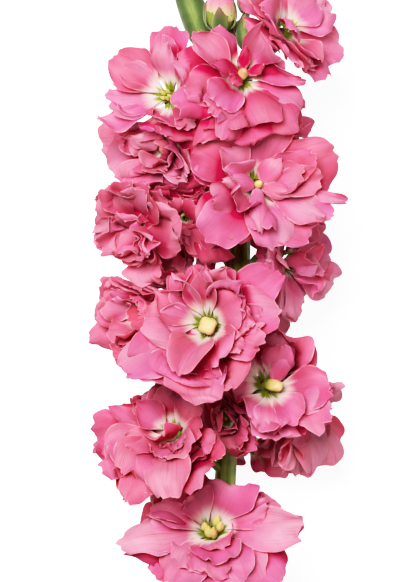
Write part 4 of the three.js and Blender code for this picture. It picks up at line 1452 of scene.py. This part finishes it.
@dataclass(frozen=True)
class Bud:
    """A bud: its foot, lean to +X and up, length, radius, whether petals show, and its foot's slimness."""

    name: str
    foot: Row
    lean: float
    up: float
    length: float
    radius: float
    opened: bool
    slim: float = 0.0

    @property
    def axis(self) -> Array:
        """The direction that the bud points in."""
        lean, up = math.radians(self.lean), math.radians(self.up)
        return np.array([math.sin(lean) * math.cos(up), math.cos(lean) * math.cos(up), math.sin(up)])


BUDS: tuple[Bud, ...] = (
    Bud("bud_1", (3.4, 71.5, 42.5), -2, 28, 11.5, 4.4, True),
    Bud("bud_2", (-0.9, 67.3, 38), -19, 6, 27, 3.7, True, 1),
    Bud("bud_3", (6.2, 65, 38), -2, 4, 7.5, 1.8, False),
    Bud("bud_4", (10.4, 66.5, 41), -2, 4, 9.5, 2.5, False),
    Bud("bud_5", (10.6, 76.5, 38.5), 3, 5, 10, 2.8, False),
    Bud("bud_6", (3.4, 86.5, 28.6), 4, -12, 9.5, 3.2, True),
    Bud("bud_7", (7.6, 84.5, 33.5), 16, 0, 9, 2.7, False),
    Bud("bud_8", (2.6, 91.5, 34.5), -3, 6, 8.5, 2.7, False),
    Bud("bud_9", (6.4, 90.5, 37.5), 8, 10, 7.5, 2.3, False),
    Bud("bud_10", (-1.5, 86.5, 31), -20, -4, 8.5, 2.5, False),
)
BUD_SPINES: tuple[tuple[Array, Array, float], ...] = tuple(
    (np.array(b.foot, float), np.array(b.foot, float) + b.axis * b.length * 0.9, b.radius) for b in BUDS
)


@dataclass
class Raceme:
    """All blooms of the stem, with their petals and hearts."""

    petal_finish: PetalFinish = field(default_factory=PetalFinish)
    heart_finish: HeartFinish = field(default_factory=HeartFinish)
    thickness: float = 0.26
    blooms: list[Bloom] = field(init=False)

    def __post_init__(self) -> None:
        """Sets each bloom in its place among its neighbours."""
        self.blooms = [Bloom(plan, i) for i, plan in enumerate(BLOOMS)]
        for bloom in self.blooms:
            bloom.meet(self.blooms)

    def build(self) -> list[Piece]:
        """Builds every bloom.

        Returns:
            The finished pieces.
        """
        petal, heart = self.petal_finish.build(), self.heart_finish.build()
        made = []
        for bloom in self.blooms:
            made.append(self.petal_piece(bloom, petal))
            made.append(self.heart_piece(bloom, heart))
        return made

    def petal_piece(self, bloom: Bloom, material: Material) -> Piece:
        """All petals of one bloom.

        Args:
            bloom: The bloom.
            material: The petals' finish.

        Returns:
            The finished piece.
        """
        patch = Patch()
        petals = bloom.petals()
        u = np.sin(np.linspace(-1.25, 1.25, bloom.across_steps)) / math.sin(1.25)
        v = np.sin(np.linspace(0, 1.25, bloom.along_steps)) / math.sin(1.25)
        surfaces = [bloom.fine_surface(p, u, v) for p in petals]
        nested = [k for k, p in enumerate(petals) if p.nested]
        for k, surface in zip(nested, bloom.nest([surfaces[k] for k in nested])):
            surfaces[k] = surface
        surfaces = [bloom.settle(s, p.layer, loose=not p.nested) for p, s in zip(petals, surfaces)]
        across, along = np.meshgrid(u, v)
        for petal, surface, hidden in zip(petals, surfaces, bloom.hidden(surfaces)):
            thin = (1 - 0.6 * np.abs(across) ** 6) * (1 - 0.55 * along**8)
            points, faces = blade(surface, self.thickness * thin)
            tone, place = self.petal_values(bloom, petal, across, along, hidden)
            patch.add(points, faces, blade_map(across, along), petal_tone=tone, petal_place=place)
        piece = patch.object(f"{bloom.name}_petals_fine", "petal_map", material)
        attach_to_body(piece, "root")
        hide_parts(f"{bloom.name}_petals")
        return piece

    def petal_values(
        self, bloom: Bloom, petal: Petal, across: Array, along: Array, hidden: Array
    ) -> tuple[Array, Array]:
        """What the petals' finish reads at each point of a petal's two faces.

        Args:
            bloom: The bloom.
            petal: The petal.
            across: Places across, from -1 to 1.
            along: Places along, from 0 to 1.
            hidden: How far each place lies under other petals, which darkens it as painted shade.

        Returns:
            Its coolness, its paleness with the painted shade taken off, and its side, and then its distance
            past the white, its margin and its seed.
        """
        plan, seed = bloom.plan, petal.seed
        count = across.size
        # Painted shade: outer petals darken toward their foot, where the inner petals shade them, and each
        # point darkens by the bloom's depth where other petals cover it, after a constant lift of 0.15.
        outer = smooth(30, 85, np.array(petal.opening[1]))
        base = 0.5 * outer * (1 - smooth(0.3, 0.8, along))
        pale = plan.pale + 0.5 * petal.tone + 0.15 - base - plan.depth * hidden
        drift = np.sin(2.6 * across + 6.283 * draw(seed + 0.41))
        pale = pale + 0.28 * (drift * np.sin(3.4 * along + 6.283 * draw(seed + 0.43)))
        cool = np.clip(plan.cool + 0.45 * sway(seed + 0.17), 0, 1)
        cool = np.clip(cool + 0.25 * np.cos(2.1 * across + 2.7 * along + 9 * draw(seed + 0.47)), 0, 1)
        back = np.concatenate([np.zeros(count), np.ones(count)])
        tone = np.stack([np.tile(cool.ravel(), 2), np.tile(pale.ravel(), 2), back], -1)
        eye = min(plan.eye, 0.42 * petal.length)
        reach = np.tile((along * petal.length / eye + 1.2 * (petal.form is DOME)).ravel(), 2)
        edge = np.tile(petal.margin(across, along).ravel(), 2)
        return tone, np.stack([reach, edge, np.full(2 * count, 7.3 * seed % 50)], -1)

    def heart_piece(self, bloom: Bloom, material: Material) -> Piece:
        """The bud of unopened petals in a bloom: overlapping small petals about a core.

        Args:
            bloom: The bloom.
            material: The heart's finish.

        Returns:
            The finished piece.
        """
        patch = Patch()
        plan = bloom.plan
        seed = bloom.index * 11 + 3.0
        if plan.style is HeartStyle.TIPS:
            for k in range(5):
                turn = 72 * k + 25 * sway(seed + k)
                lean = 8 + 10 * sway(seed + k + 0.3)
                length = (5.2 + 1.2 * sway(seed + k + 0.6)) * min(1, plan.tips)
                self.add_tip(patch, bloom, turn, lean, 0.95 * plan.tips, length, k)
        else:
            blocky = plan.style is HeartStyle.BLOCK
            small = plan.closed > 0
            radius = plan.core * (1.95 if blocky else 1.1 if small else 1.55)
            self.add_core(patch, bloom, radius, 2.6 if small else 4.8, blocky)
        piece = patch.object(f"{bloom.name}_heart_fine", "heart_map", material)
        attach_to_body(piece, "root")
        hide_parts(f"{bloom.name}_heart")
        return piece

    def add_tip(
        self, patch: Patch, bloom: Bloom, turn: float, lean: float, radius: float, length: float, k: int
    ) -> None:
        """One pointed unopened petal that leans out of the heart.

        Args:
            patch: The mesh that is being gathered.
            bloom: The bloom.
            turn: Its azimuth.
            lean: How far it leans out.
            radius: Its radius.
            length: Its length.
            k: Its number, for its own seed.
        """
        lean, out = math.radians(lean), bloom.outward(turn)
        way = bloom.axis * math.cos(lean) + out * math.sin(lean)
        share = np.linspace(0, 1, 9)
        foot = bloom.heart + out * (1.6 * bloom.plan.tips) - bloom.axis * 0.8
        middle = foot + share[:, None] * way * length
        width = radius * np.array([0.7, 0.95, 1.05, 1.05, 0.98, 0.82, 0.6, 0.34, 0.08])
        turns = 2 * np.pi * np.arange(12) / 12
        ridge = 1 + 0.12 * np.cos(3 * turns + k)
        rings = rings_along(middle, np.broadcast_to(way, middle.shape), bloom.right, width[:, None] * ridge)
        points, faces = loft(rings)
        along = np.concatenate([np.repeat(share, 12), [0, 1]])
        patch.add(points, faces, ring_map(9, 12), heart_tone=self.heart_values(bloom, along, 0.4))

    def add_core(self, patch: Patch, bloom: Bloom, radius: float, length: float, blocky: bool) -> None:
        """A closed bud whose small petals overlap in a spiral.

        Args:
            patch: The mesh that is being gathered.
            bloom: The bloom.
            radius: Its radius.
            length: Its length from the heart's foot.
            blocky: Whether its tip is blunt and square.
        """
        share = np.linspace(0, 1, 14)
        blunt = 9 if blocky else 2.6
        width = radius * (0.8 + 0.25 * np.sin(np.pi * share)) * (1 - share**blunt) ** (1 / 2.2)
        width[-1] = 0.05
        sides = 24
        turns = 2 * np.pi * np.arange(sides) / sides
        seed = bloom.index * 5.0
        overlap = (turns / (2 * np.pi) * 4 + 0.7 * share[:, None] + draw(seed)) % 1 - 0.5
        fold = 1 + 0.09 * overlap * 2 * np.sin(np.pi * np.minimum(1, share + 0.2))[:, None]
        if blocky:
            fold = fold * (np.abs(np.cos(turns + 0.4)) ** 4 + np.abs(np.sin(turns + 0.4)) ** 4) ** -0.25
        lean = 0.3 * (bloom.right - bloom.up) if blocky else 0
        middle = bloom.heart + (bloom.axis + lean) * (-0.5 + share[:, None] * (length + 0.2))
        way = np.broadcast_to(bloom.axis, middle.shape)
        rings = rings_along(middle, way, bloom.right, width[:, None] * fold)
        points, faces = loft(rings)
        along = np.concatenate([np.repeat(share, sides), [0, 1]])
        patch.add(points, faces, ring_map(14, sides), heart_tone=self.heart_values(bloom, along, 1.0))

    def heart_values(self, bloom: Bloom, along: Array, share: float) -> Array:
        """A share of the heart's blush, and then its ripeness, at each point along a piece of it."""
        blush = np.full(len(along), bloom.plan.blush * share)
        return np.stack([blush, along * bloom.plan.ripe, np.zeros(len(along))], -1)


@dataclass
class WhorlTree:
    """A Geometry Nodes tree that sets a ring of copies of a piece at each point of a host mesh.

    The host's points hold the attributes turn, as Euler angles, and stretch, as three scales.
    """

    name: str = "whorl_at_points"

    def build(self) -> NodeTree:
        """Builds the tree with the inputs Piece, Count, Sway and Finish.

        Returns:
            The tree.
        """
        tree = bpy.data.node_groups.new(self.name, "GeometryNodeTree")
        kinds = {"Piece": "Object", "Count": "Int", "Sway": "Float", "Finish": "Material"}
        for label, kind in {"Geometry": "Geometry", **kinds}.items():
            tree.interface.new_socket(label, in_out="INPUT", socket_type=f"NodeSocket{kind}")
        tree.interface.new_socket("Geometry", in_out="OUTPUT", socket_type="NodeSocketGeometry")
        kit = NodeKit(tree)
        start, end = kit.add("NodeGroupInput").outputs, kit.add("NodeGroupOutput")
        whorls = self.copies(
            kit, start["Geometry"], self.ring(kit, start),
            Rotation=self.named(kit, "turn"), Scale=self.named(kit, "stretch"),
        )
        dress = kit.add("GeometryNodeSetMaterial", {"Geometry": whorls, "Material": start["Finish"]})
        kit.read(end, {0: dress.outputs[0]})
        return tree

    def ring(self, kit: NodeKit, start: bpy.types.NodeOutputs) -> Socket:
        """Copies of the piece turned evenly about +Z, each with a small sway.

        Args:
            kit: The tree's kit.
            start: The tree's own inputs.

        Returns:
            The ring's geometry.
        """
        piece = kit.add("GeometryNodeObjectInfo", {"Object": start["Piece"]})
        line = kit.add("GeometryNodeMeshLine", {"Offset": (0, 0, 0), "Count": start["Count"]})
        share = kit.math("DIVIDE", kit.add("GeometryNodeInputIndex").outputs[0], start["Count"])
        random = kit.add("FunctionNodeRandomValue", {2: -1.0, 3: 1.0, "Seed": 11})
        swing = kit.times(random.outputs[1], start["Sway"])
        angle = kit.math("ADD", kit.times(share, 2 * math.pi), swing)
        return self.copies(
            kit, line.outputs["Mesh"], piece.outputs["Geometry"], Rotation=kit.vector(0.0, 0.0, angle)
        )

    def copies(
        self, kit: NodeKit, points: Socket, piece: Socket, **values: object
    ) -> Socket:
        """A piece at each point, as real geometry.

        Args:
            kit: The tree's kit.
            points: The points.
            piece: The piece's geometry.
            **values: What the named inputs read, such as the rotation.

        Returns:
            The copies' geometry.
        """
        reads = {"Points": points, "Instance": piece, **values}
        spread = kit.add("GeometryNodeInstanceOnPoints", reads)
        return kit.add("GeometryNodeRealizeInstances", {0: spread.outputs[0]}).outputs[0]

    def named(self, kit: NodeKit, label: str) -> Socket:
        """A vector attribute of the host's points."""
        node = kit.add("GeometryNodeInputNamedAttribute", {0: label}, data_type="FLOAT_VECTOR")
        return node.outputs[0]


def set_inputs(modifier: bpy.types.Modifier, **values: object) -> None:
    """Sets a Geometry Nodes modifier's inputs by their sockets' identifiers.

    Args:
        modifier: The modifier.
        **values: A value for each named input.
    """
    for item in modifier.node_group.interface.items_tree:
        if item.item_type == "SOCKET" and item.in_out == "INPUT" and item.name in values:
            modifier[item.identifier] = values[item.name]


def baked(host: Piece, name: str) -> Piece:
    """A plain mesh object of what a host's modifiers make. The host and its modifiers are removed.

    Args:
        host: The object with the modifiers.
        name: The new object's name.

    Returns:
        The new object, linked to the scene.
    """
    bpy.context.view_layer.update()
    depsgraph = bpy.context.evaluated_depsgraph_get()
    mesh = bpy.data.meshes.new_from_object(host.evaluated_get(depsgraph))
    mesh.name = name
    host.modifiers.clear()
    bpy.data.objects.remove(host)
    return add_object(name, mesh)


def bezier(points: list[Array], t: Array) -> tuple[Array, Array]:
    """Points and directions of a cubic curve.

    Args:
        points: Its four control points.
        t: Places along it from 0 to 1.

    Returns:
        The points and the unit directions.
    """
    a, b, c, d = points
    s = t[:, None]
    at = (1 - s) ** 3 * a + 3 * (1 - s) ** 2 * s * b + 3 * (1 - s) * s**2 * c + s**3 * d
    way = 3 * (1 - s) ** 2 * (b - a) + 6 * (1 - s) * s * (c - b) + 3 * s**2 * (d - c)
    return at, unit(way)


@dataclass
class Greenery:
    """The main stem, the flower stalks with their calyx cups, and the buds."""

    stem_finish: GreenFinish = GreenFinish(
        "stock_stem", light=(0.30, 0.37, 0.055), dark=(0.09, 0.13, 0.014), tinge=(0.2, 0.08, 0.05),
        roughness=0.42, lines=20.0,
    )
    sepal_finish: GreenFinish = GreenFinish(
        "stock_sepal", light=(0.25, 0.32, 0.09), dark=(0.045, 0.085, 0.015), tinge=(0.30, 0.10, 0.12),
        tinge_share=0.5, roughness=0.6, lines=12.0, down=0.3,
    )
    sides: int = 56
    calyx_drop: float = 13.0
    open_wrap_height: float = 0.74

    def build(self, blooms: list[Bloom]) -> list[Piece]:
        """Builds the green parts.

        Args:
            blooms: The blooms that the stalks carry.

        Returns:
            The finished pieces.
        """
        skin, sepal = self.stem_finish.build(), self.sepal_finish.build()
        return [self.main_stem(skin), self.stalks(blooms, skin), *self.sepals(blooms, sepal)]

    def main_stem(self, material: Material) -> Piece:
        """The ridged main stem with its slanting flat cut.

        Args:
            material: Its finish.

        Returns:
            The finished piece.
        """
        y = np.linspace(STEM_LINE[0][1], STEM_LINE[-1][1], 190)
        middle, radius = stem_at(y)
        way = unit(np.gradient(middle, axis=0))
        turns = 2 * np.pi * np.arange(self.sides) / self.sides
        ridge = 1 + 0.045 * np.cos(7 * turns[None] + 0.012 * y[:, None])
        ridge = ridge + 0.02 * np.cos(11 * turns[None] + 1.3)
        swell = 1 + 0.02 * np.sin(0.21 * y) + 0.015 * np.sin(0.077 * y + 1)
        rings = rings_along(middle, way, np.array([1.0, 0, 0]), radius[:, None] * ridge * swell[:, None])
        rings[..., 2] = 0.02 - ease(0.02 - rings[..., 2], 0.15)
        points, faces = loft(rings)
        light = np.concatenate([np.tile(0.5 + 0.35 * np.cos(7 * turns), len(y)), [0.9, 0.5]])
        tone = np.stack([light, np.zeros(len(light)), np.full(len(light), 3.0)], -1)
        spread = ring_map(len(y), self.sides) * np.array([1.0, 12.0])
        patch = Patch()
        patch.add(points, faces, spread, green_tone=tone)
        piece = patch.object("main_stem", "green_map", material)
        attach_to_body(piece, "root")
        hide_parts("stem")
        return piece

    def stalk(
        self, patch: Patch, attach: float, foot: Array, axis: Array, radius: float, cup: list[Row],
        seed: float,
    ) -> None:
        """One stalk from the stem, with the cup or core at its end.

        Args:
            patch: The mesh that is being gathered.
            attach: The height where it leaves the stem.
            foot: Where the cup begins.
            axis: The direction of the cup.
            radius: The stalk's radius.
            cup: The cup's rows of height along the axis and radius.
            seed: Its own seed.
        """
        start = stem_at(np.array(attach))[0]
        reach = np.linalg.norm(foot - start)
        bow = unit((foot - start) * np.array([1, 0, 1])) * 0.6 + np.array([0, 0.8, 0])
        t = np.linspace(0.03, 1, 16)
        line, way = bezier([start, start + bow * reach * 0.35, foot - axis * reach * 0.35, foot], t)
        flare = 1 + 0.9 * np.exp(-((t * reach) / 3.5) ** 2) + 0.25 * smooth(0.86, 1, t)
        heights = np.array([row[0] for row in cup[1:]])
        middle = np.concatenate([line, foot + heights[:, None] * axis])
        ways = np.concatenate([way, np.broadcast_to(axis, (len(heights), 3))])
        width = np.concatenate([radius * flare, [row[1] for row in cup[1:]]])
        sides = 14
        turns = 2 * np.pi * np.arange(sides) / sides
        ridge = 1 + 0.05 * np.cos(5 * turns + seed)
        rings = rings_along(middle, ways, np.array([0.3, 0.2, 1.0]), width[:, None] * ridge)
        rings[..., 2] = 0.1 - ease(0.1 - rings[..., 2], 0.5)
        points, faces = loft(rings)
        light = np.concatenate([np.tile(0.55 + 0.25 * np.cos(5 * turns + seed), len(width)), [0.4, 0.4]])
        tone = np.stack([light, np.zeros(len(light)), np.full(len(light), seed)], -1)
        patch.add(points, faces, ring_map(len(width), sides) * np.array([1.0, 2.0]), green_tone=tone)

    def stalks(self, blooms: list[Bloom], material: Material) -> Piece:
        """The stalks of all blooms and buds.

        Args:
            blooms: The blooms.
            material: The stalks' finish.

        Returns:
            The finished piece.
        """
        patch = Patch()
        for bloom in blooms:
            foot = bloom.heart - self.calyx_drop * bloom.axis
            cup = [(0, 1.2), (1.2, 1.9), (3, 2.5), (6, 2.6), (8.7, 2.7)]
            attach = bloom.heart[1] - self.calyx_drop
            self.stalk(patch, attach, foot, bloom.axis, 0.95, cup, bloom.index + 0.5)
        for k, bud in enumerate(BUDS):
            r, n = bud.radius, bud.length
            slim = 1 - 0.3 * bud.slim
            cup = [
                (0, r * 0.5 * slim), (n * 0.1, r * 0.74 * slim), (n * 0.26, r * 0.93 * slim),
                (n * 0.45, r * 0.95), (n * 0.6, r * 0.86), (n * 0.8, r * 0.6), (n * 0.93, r * 0.3),
                (n * 0.97, r * 0.1),
            ]
            foot = np.array(bud.foot, float)
            self.stalk(patch, min(foot[1] - 6, 88), foot, bud.axis, min(0.95, r * 0.34), cup, k + 30.5)
        piece = patch.object("flower_stalks", "green_map", material)
        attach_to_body(piece, "root")
        return piece

    def sepal(
        self, name: str, height: float, profile: list[float], width: float, thickness: float
    ) -> Piece:
        """One sepal that stands on its foot at the origin, for the whorls to repeat.

        Args:
            name: The object's name.
            height: Its height.
            profile: Its distance from the axis at even steps of its height.
            width: Its width in degrees about the axis.
            thickness: Its thickness.

        Returns:
            The object in millimetres, which the whorls read and which is removed afterwards.
        """
        v = np.linspace(0, 1, 12)
        u = np.linspace(-1, 1, 7)
        across, along = np.meshgrid(u, v)
        out = np.interp(along, np.linspace(0, 1, len(profile)), profile)
        span = math.radians(width) / 2 * (0.75 + 0.25 * smooth(0, 0.3, along))
        span = span * np.sqrt(np.maximum(1 - along**5, 0.03))
        keel = 0.18 * (1 - np.abs(across)) * height / 9
        angle = span * across
        rise = along * height - 0.25 * across**2 * along
        points, faces = blade(
            np.stack([(out + keel) * np.cos(angle), (out + keel) * np.sin(angle), rise], -1), thickness
        )
        light = 0.15 + 0.85 * np.abs(across) ** 3
        tone = np.stack([light, smooth(0.45, 1, along), np.zeros_like(across)], -1)
        patch = Patch()
        patch.add(points, faces, blade_map(across, along), green_tone=np.tile(tone.reshape(-1, 3), (2, 1)))
        return add_object(name, patch.mesh(name, "green_map", points))

    def whorls(
        self, name: str, sepal: Piece, hosts: list[tuple[Array, Array, Row, float]],
        tree: NodeTree, material: Material,
    ) -> Piece:
        """A ring of four sepals at each host point.

        Args:
            name: The piece's name.
            sepal: The sepal to repeat.
            hosts: Each ring's foot, axis, stretch and turn about the axis.
            tree: The whorl tree.
            material: The sepals' finish.

        Returns:
            The finished piece.
        """
        mesh = bpy.data.meshes.new(name + "_host")
        feet = [(foot + np.array(PLANT_SHIFT)) * MM for foot, *_ in hosts]
        mesh.from_pydata([tuple(f) for f in feet], [], [])
        turns, sizes = [], []
        for _, axis, stretch, spin in hosts:
            aim = Vector(axis).to_track_quat("Z", "Y") @ Euler((0, 0, spin)).to_quaternion()
            turns += list(aim.to_euler())
            sizes += [MM * s for s in stretch]
        mesh.attributes.new("turn", "FLOAT_VECTOR", "POINT").data.foreach_set("vector", turns)
        mesh.attributes.new("stretch", "FLOAT_VECTOR", "POINT").data.foreach_set("vector", sizes)
        host = add_object(name + "_host", mesh)
        modifier = host.modifiers.new("whorls", "NODES")
        modifier.node_group = tree
        set_inputs(modifier, Piece=sepal, Count=4, Sway=0.12, Finish=material)
        piece = baked(host, name)
        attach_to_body(piece, "root")
        return piece

    def sepals(self, blooms: list[Bloom], material: Material) -> list[Piece]:
        """The calyx sepals of all blooms and the sepals that wrap the buds.

        Args:
            blooms: The blooms.
            material: The sepals' finish.

        Returns:
            The finished pieces.
        """
        tree = WhorlTree().build()
        calyx = self.sepal("calyx_sepal", 9.4, [1.2, 2.5, 2.95, 2.95, 3.0, 3.2, 3.9], 84, 0.3)
        wrap = self.sepal("bud_sepal", 1.0, [0.5, 0.86, 1.0, 1.02, 0.98, 0.82, 0.5, 0.12], 96, 0.1)
        open_wrap = self.sepal("open_bud_sepal", 1.0, [0.5, 0.86, 0.98, 1.02, 1.0, 0.93, 0.78], 60, 0.07)
        calyces = [(b.heart - self.calyx_drop * b.axis, b.axis, (1, 1, 1), 0.8 * b.index) for b in blooms]
        closed, opened = [], []
        for k, bud in enumerate(BUDS):
            wide = bud.opened and not bud.slim
            size = (bud.radius, bud.radius, bud.length * (self.open_wrap_height if wide else 1))
            (opened if wide else closed).append((np.array(bud.foot), bud.axis, size, 0.7 * k))
        made = [
            self.whorls("calyx_sepals", calyx, calyces, tree, material),
            self.whorls("closed_bud_sepals", wrap, closed, tree, material),
            self.whorls("open_bud_sepals", open_wrap, opened, tree, material),
        ]
        for piece in (calyx, wrap, open_wrap):
            bpy.data.objects.remove(piece)
        return made


@dataclass
class BudPetals:
    """The folded petals that show at the tips of the opening buds."""

    finish: PetalFinish = field(default_factory=lambda: PetalFinish(
        name="stock_bud_petal", white=(0.80, 0.74, 0.36), green=(0.36, 0.44, 0.07), through=0.15,
        roughness=0.5,
    ))

    def build(self) -> list[Piece]:
        """Builds the petals of each opening bud: five that overlap in a spiral.

        Returns:
            The finished pieces.
        """
        material = self.finish.build()
        made = []
        for k, bud in enumerate(b for b in BUDS if b.opened):
            patch = Patch()
            axis = bud.axis
            sideways = unit(np.array([0, 0, 1.0]) - axis * axis[2])
            other = np.cross(axis, sideways)
            u, v = np.linspace(-1, 1, 13), np.linspace(0, 1, 14)
            across, along = np.meshgrid(u, v)
            for petal in range(5):
                turn = math.radians(144 * petal + 20 * k)
                angle = turn + across * math.radians(74)
                inner = 0.9 - 0.035 * petal + 0.05 * across
                height = bud.length * (0.3 + 0.69 * along * (1 - 0.1 * across**2))
                dome = np.sqrt(np.maximum(1 - np.clip((along * 0.96 - 0.25) / 0.75, 0, 1) ** 2.6, 0.01))
                out = bud.radius * inner * dome
                points = (
                    np.array(bud.foot, float)
                    + axis * height[..., None]
                    + sideways * (out * np.cos(angle))[..., None]
                    + other * (out * np.sin(angle))[..., None]
                )
                solid, faces = blade(points, 0.25)
                count = across.size
                seed = 400 + 10 * k + petal
                tone = np.tile([0.35 + 0.2 * sway(seed), 0.4 + 0.15 * sway(seed + 0.3), 0.0], (2 * count, 1))
                edge = np.maximum(np.abs(across) ** 1.5, smooth(0.55, 1, along))
                reach = np.tile(0.25 + 1.1 * along.ravel(), 2)
                place = np.stack([reach, np.tile(edge.ravel(), 2), np.full(2 * count, seed % 50)], -1)
                patch.add(solid, faces, blade_map(across, along), petal_tone=tone, petal_place=place)
            piece = patch.object(f"{bud.name}_petals_fine", "petal_map", material)
            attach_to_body(piece, "root")
            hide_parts(f"{bud.name}_petals")
            made.append(piece)
        return made


@dataclass(frozen=True)
class LeafPlan:
    """Where a leaf leaves the stem, its round, length and width, and how far it stands off."""

    name: str
    y: float
    round: float
    length: float
    width: float
    off: float


@dataclass
class Foliage:
    """The narrow downy leaves at the lower part of the stem."""

    finish: GreenFinish = GreenFinish(
        "stock_leaf", light=(0.20, 0.26, 0.10), dark=(0.075, 0.115, 0.04), tinge=(0.2, 0.2, 0.1),
        roughness=0.62, lines=9.0, down=0.5, through=0.12,
    )
    leaves: tuple[LeafPlan, ...] = (
        LeafPlan("leaf_1", -176, 20, 62, 13, 34),
        LeafPlan("leaf_2", -166, 158, 66, 14, 36),
        LeafPlan("leaf_3", -154, 80, 56, 12.5, 30),
        LeafPlan("leaf_4", -142, -15, 52, 12, 38),
        LeafPlan("leaf_5", -133, 195, 47, 11, 40),
        LeafPlan("leaf_6", -122, 110, 36, 9, 30),
    )

    def build(self) -> list[Piece]:
        """Builds the leaves.

        Returns:
            The finished pieces.
        """
        material = self.finish.build()
        made = []
        for k, leaf in enumerate(self.leaves):
            patch = Patch()
            points = self.surface(leaf, np.linspace(-1, 1, 15), np.linspace(-0.03, 1, 46))
            across, along = np.meshgrid(np.linspace(-1, 1, 15), np.linspace(0, 1, 46))
            solid, faces = blade(points, 0.55 * (1 - 0.5 * np.abs(across) ** 4))
            rib = 1 - np.exp(-((across / 0.12) ** 2))
            side = 0.5 - 0.28 * rib * (0.5 + 0.5 * np.cos(16 * along - 7 * np.abs(across)))
            count = across.size
            light = np.tile((side + 0.3 * (1 - rib)).ravel(), 2)
            tone = np.stack([light, np.zeros(2 * count), np.full(2 * count, 60.0 + k)], -1)
            patch.add(solid, faces, blade_map(across, along), green_tone=tone)
            piece = patch.object(f"{leaf.name}_fine", "green_map", material)
            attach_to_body(piece, "root")
            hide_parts(leaf.name)
            made.append(piece)
        return made

    def surface(self, leaf: LeafPlan, u: Array, v: Array) -> Array:
        """A leaf's middle surface: it leaves the stem, arches over and droops to the table.

        Args:
            leaf: The leaf.
            u: Places across, from -1 to 1.
            v: Places along, from 0 to 1.

        Returns:
            The points, rows along and columns across.
        """
        across, along = np.meshgrid(u, v)
        middle, radius = stem_at(np.array(float(leaf.y)))
        turn = math.radians(leaf.round)
        away, up = np.array([math.cos(turn), 0, math.sin(turn)]), np.array([0.0, 1, 0])
        side = np.cross(up, away)
        start = math.radians(leaf.off)
        angle = start + math.radians(26) * along
        arc = leaf.length / math.radians(26)
        out = radius + 0.75 + arc * (math.cos(start) - np.cos(angle))
        rise = arc * (np.sin(angle) - math.sin(start))
        fall = np.maximum(0, (along - 0.5) / 0.5)
        half = leaf.width / 2 * (0.22 + 0.78 * smooth(0, 0.45, along)) * (1 - 0.86 * fall**2)
        groove = 0.35 * (1 - np.exp(-((across / 0.18) ** 2)))
        wave = 0.9 * across * along * np.sin(9 * along + leaf.round)
        lift = 0.16 * half * np.abs(across) + groove - 0.3 + wave
        points = (
            middle
            + away * (out - lift * np.cos(angle))[..., None]
            + up * (rise + lift * np.sin(angle))[..., None]
            + side * (across * half)[..., None]
        )
        points[..., 2] = 0.5 - ease(0.5 - points[..., 2], 4)
        return points


@dataclass
class Studio:
    """A pale table, soft light and the camera above the stem."""

    camera_height: float = 940.0
    pixels_per_mm: float = 3.5
    picture_height: int = 582
    sensor: float = 24.0
    tones: tuple[tuple[float, float], ...] = (
        (0, 0), (0.02, 0.009), (0.05, 0.032), (0.1, 0.078), (0.2, 0.195), (0.35, 0.4), (0.6, 0.65),
        (1, 0.875), (1.5, 0.965), (2, 1),
    )

    def build(self) -> None:
        """Sets the table, the lights and the camera."""
        self.table()
        self.lamp("soft_box_above", (-180, 260, 800), (0, 0, 30), 420, 12.1)
        self.lamp("fill_right", (700, -200, 500), (0, 0, 30), 500, 2.2)
        self.sky(0.08)
        camera = bpy.data.cameras.new("camera_above")
        camera.sensor_fit = "VERTICAL"
        camera.sensor_height = self.sensor
        camera.lens = self.sensor * self.camera_height / (self.picture_height / self.pixels_per_mm)
        camera.clip_start = 0.01
        holder = add_object("camera_above", camera)
        holder.location = (Vector((0, 0, self.camera_height)) + Vector(PLANT_SHIFT)) * MM
        bpy.context.scene.camera = holder
        self.develop()

    def develop(self) -> None:
        """Gives the picture a photograph's tones: rich shadows and highlights that ease to white."""
        view = bpy.context.scene.view_settings
        view.view_transform = "Standard"
        view.use_curve_mapping = True
        mapping = view.curve_mapping
        mapping.clip_max_x = self.tones[-1][0]
        mapping.clip_max_y = self.tones[-1][1]
        curve = mapping.curves[3]
        curve.points[-1].location = self.tones[-1]
        for light, shown in self.tones[1:-1]:
            curve.points.new(light, shown)
        for point in curve.points:
            point.handle_type = "AUTO_CLAMPED"
        mapping.update()

    def table(self) -> None:
        """A large pale table top just under the stem."""
        bpy.ops.mesh.primitive_plane_add(size=6, location=(0, 0, -0.0002))
        top = bpy.context.object
        top.name = "table_top"
        top.data.materials.append(TableFinish().build())

    def lamp(self, name: str, place: Row, aim: Row, size: float, power: float) -> None:
        """A square soft light.

        Args:
            name: Its name.
            place: Where it hangs, in the plant's frame.
            aim: What it faces.
            size: The length of its side in millimetres.
            power: Its power in watts.
        """
        light = bpy.data.lights.new(name, "AREA")
        light.size = size * MM
        light.energy = power
        holder = add_object(name, light)
        at = (Vector(place) + Vector(PLANT_SHIFT)) * MM
        to = (Vector(aim) + Vector(PLANT_SHIFT)) * MM
        holder.location = at
        holder.rotation_euler = (to - at).to_track_quat("-Z", "Y").to_euler()

    def sky(self, strength: float) -> None:
        """An even white surround.

        Args:
            strength: How bright it is.
        """
        world = bpy.data.worlds.new("white_surround")
        bpy.context.scene.world = world
        world.use_nodes = True
        light = world.node_tree.nodes["Background"].inputs
        light[0].default_value, light[1].default_value = (1, 1, 1, 1), strength


def main() -> None:
    """Builds every sub-assembly in order and reports each piece."""
    logging.basicConfig(level=logging.INFO, format="%(name)s: %(message)s")
    raceme = Raceme()
    pieces = [*raceme.build(), *Greenery().build(raceme.blooms), *BudPetals().build(), *Foliage().build()]
    total = 0
    for piece in pieces:
        triangles = sum(len(p.vertices) - 2 for p in piece.data.polygons)
        LOG.info("%s: %d triangles", piece.name, triangles)
        total += triangles
    LOG.info("all pieces: %d triangles", total)
    Studio().build()


if __name__ == "__main__":
    main()
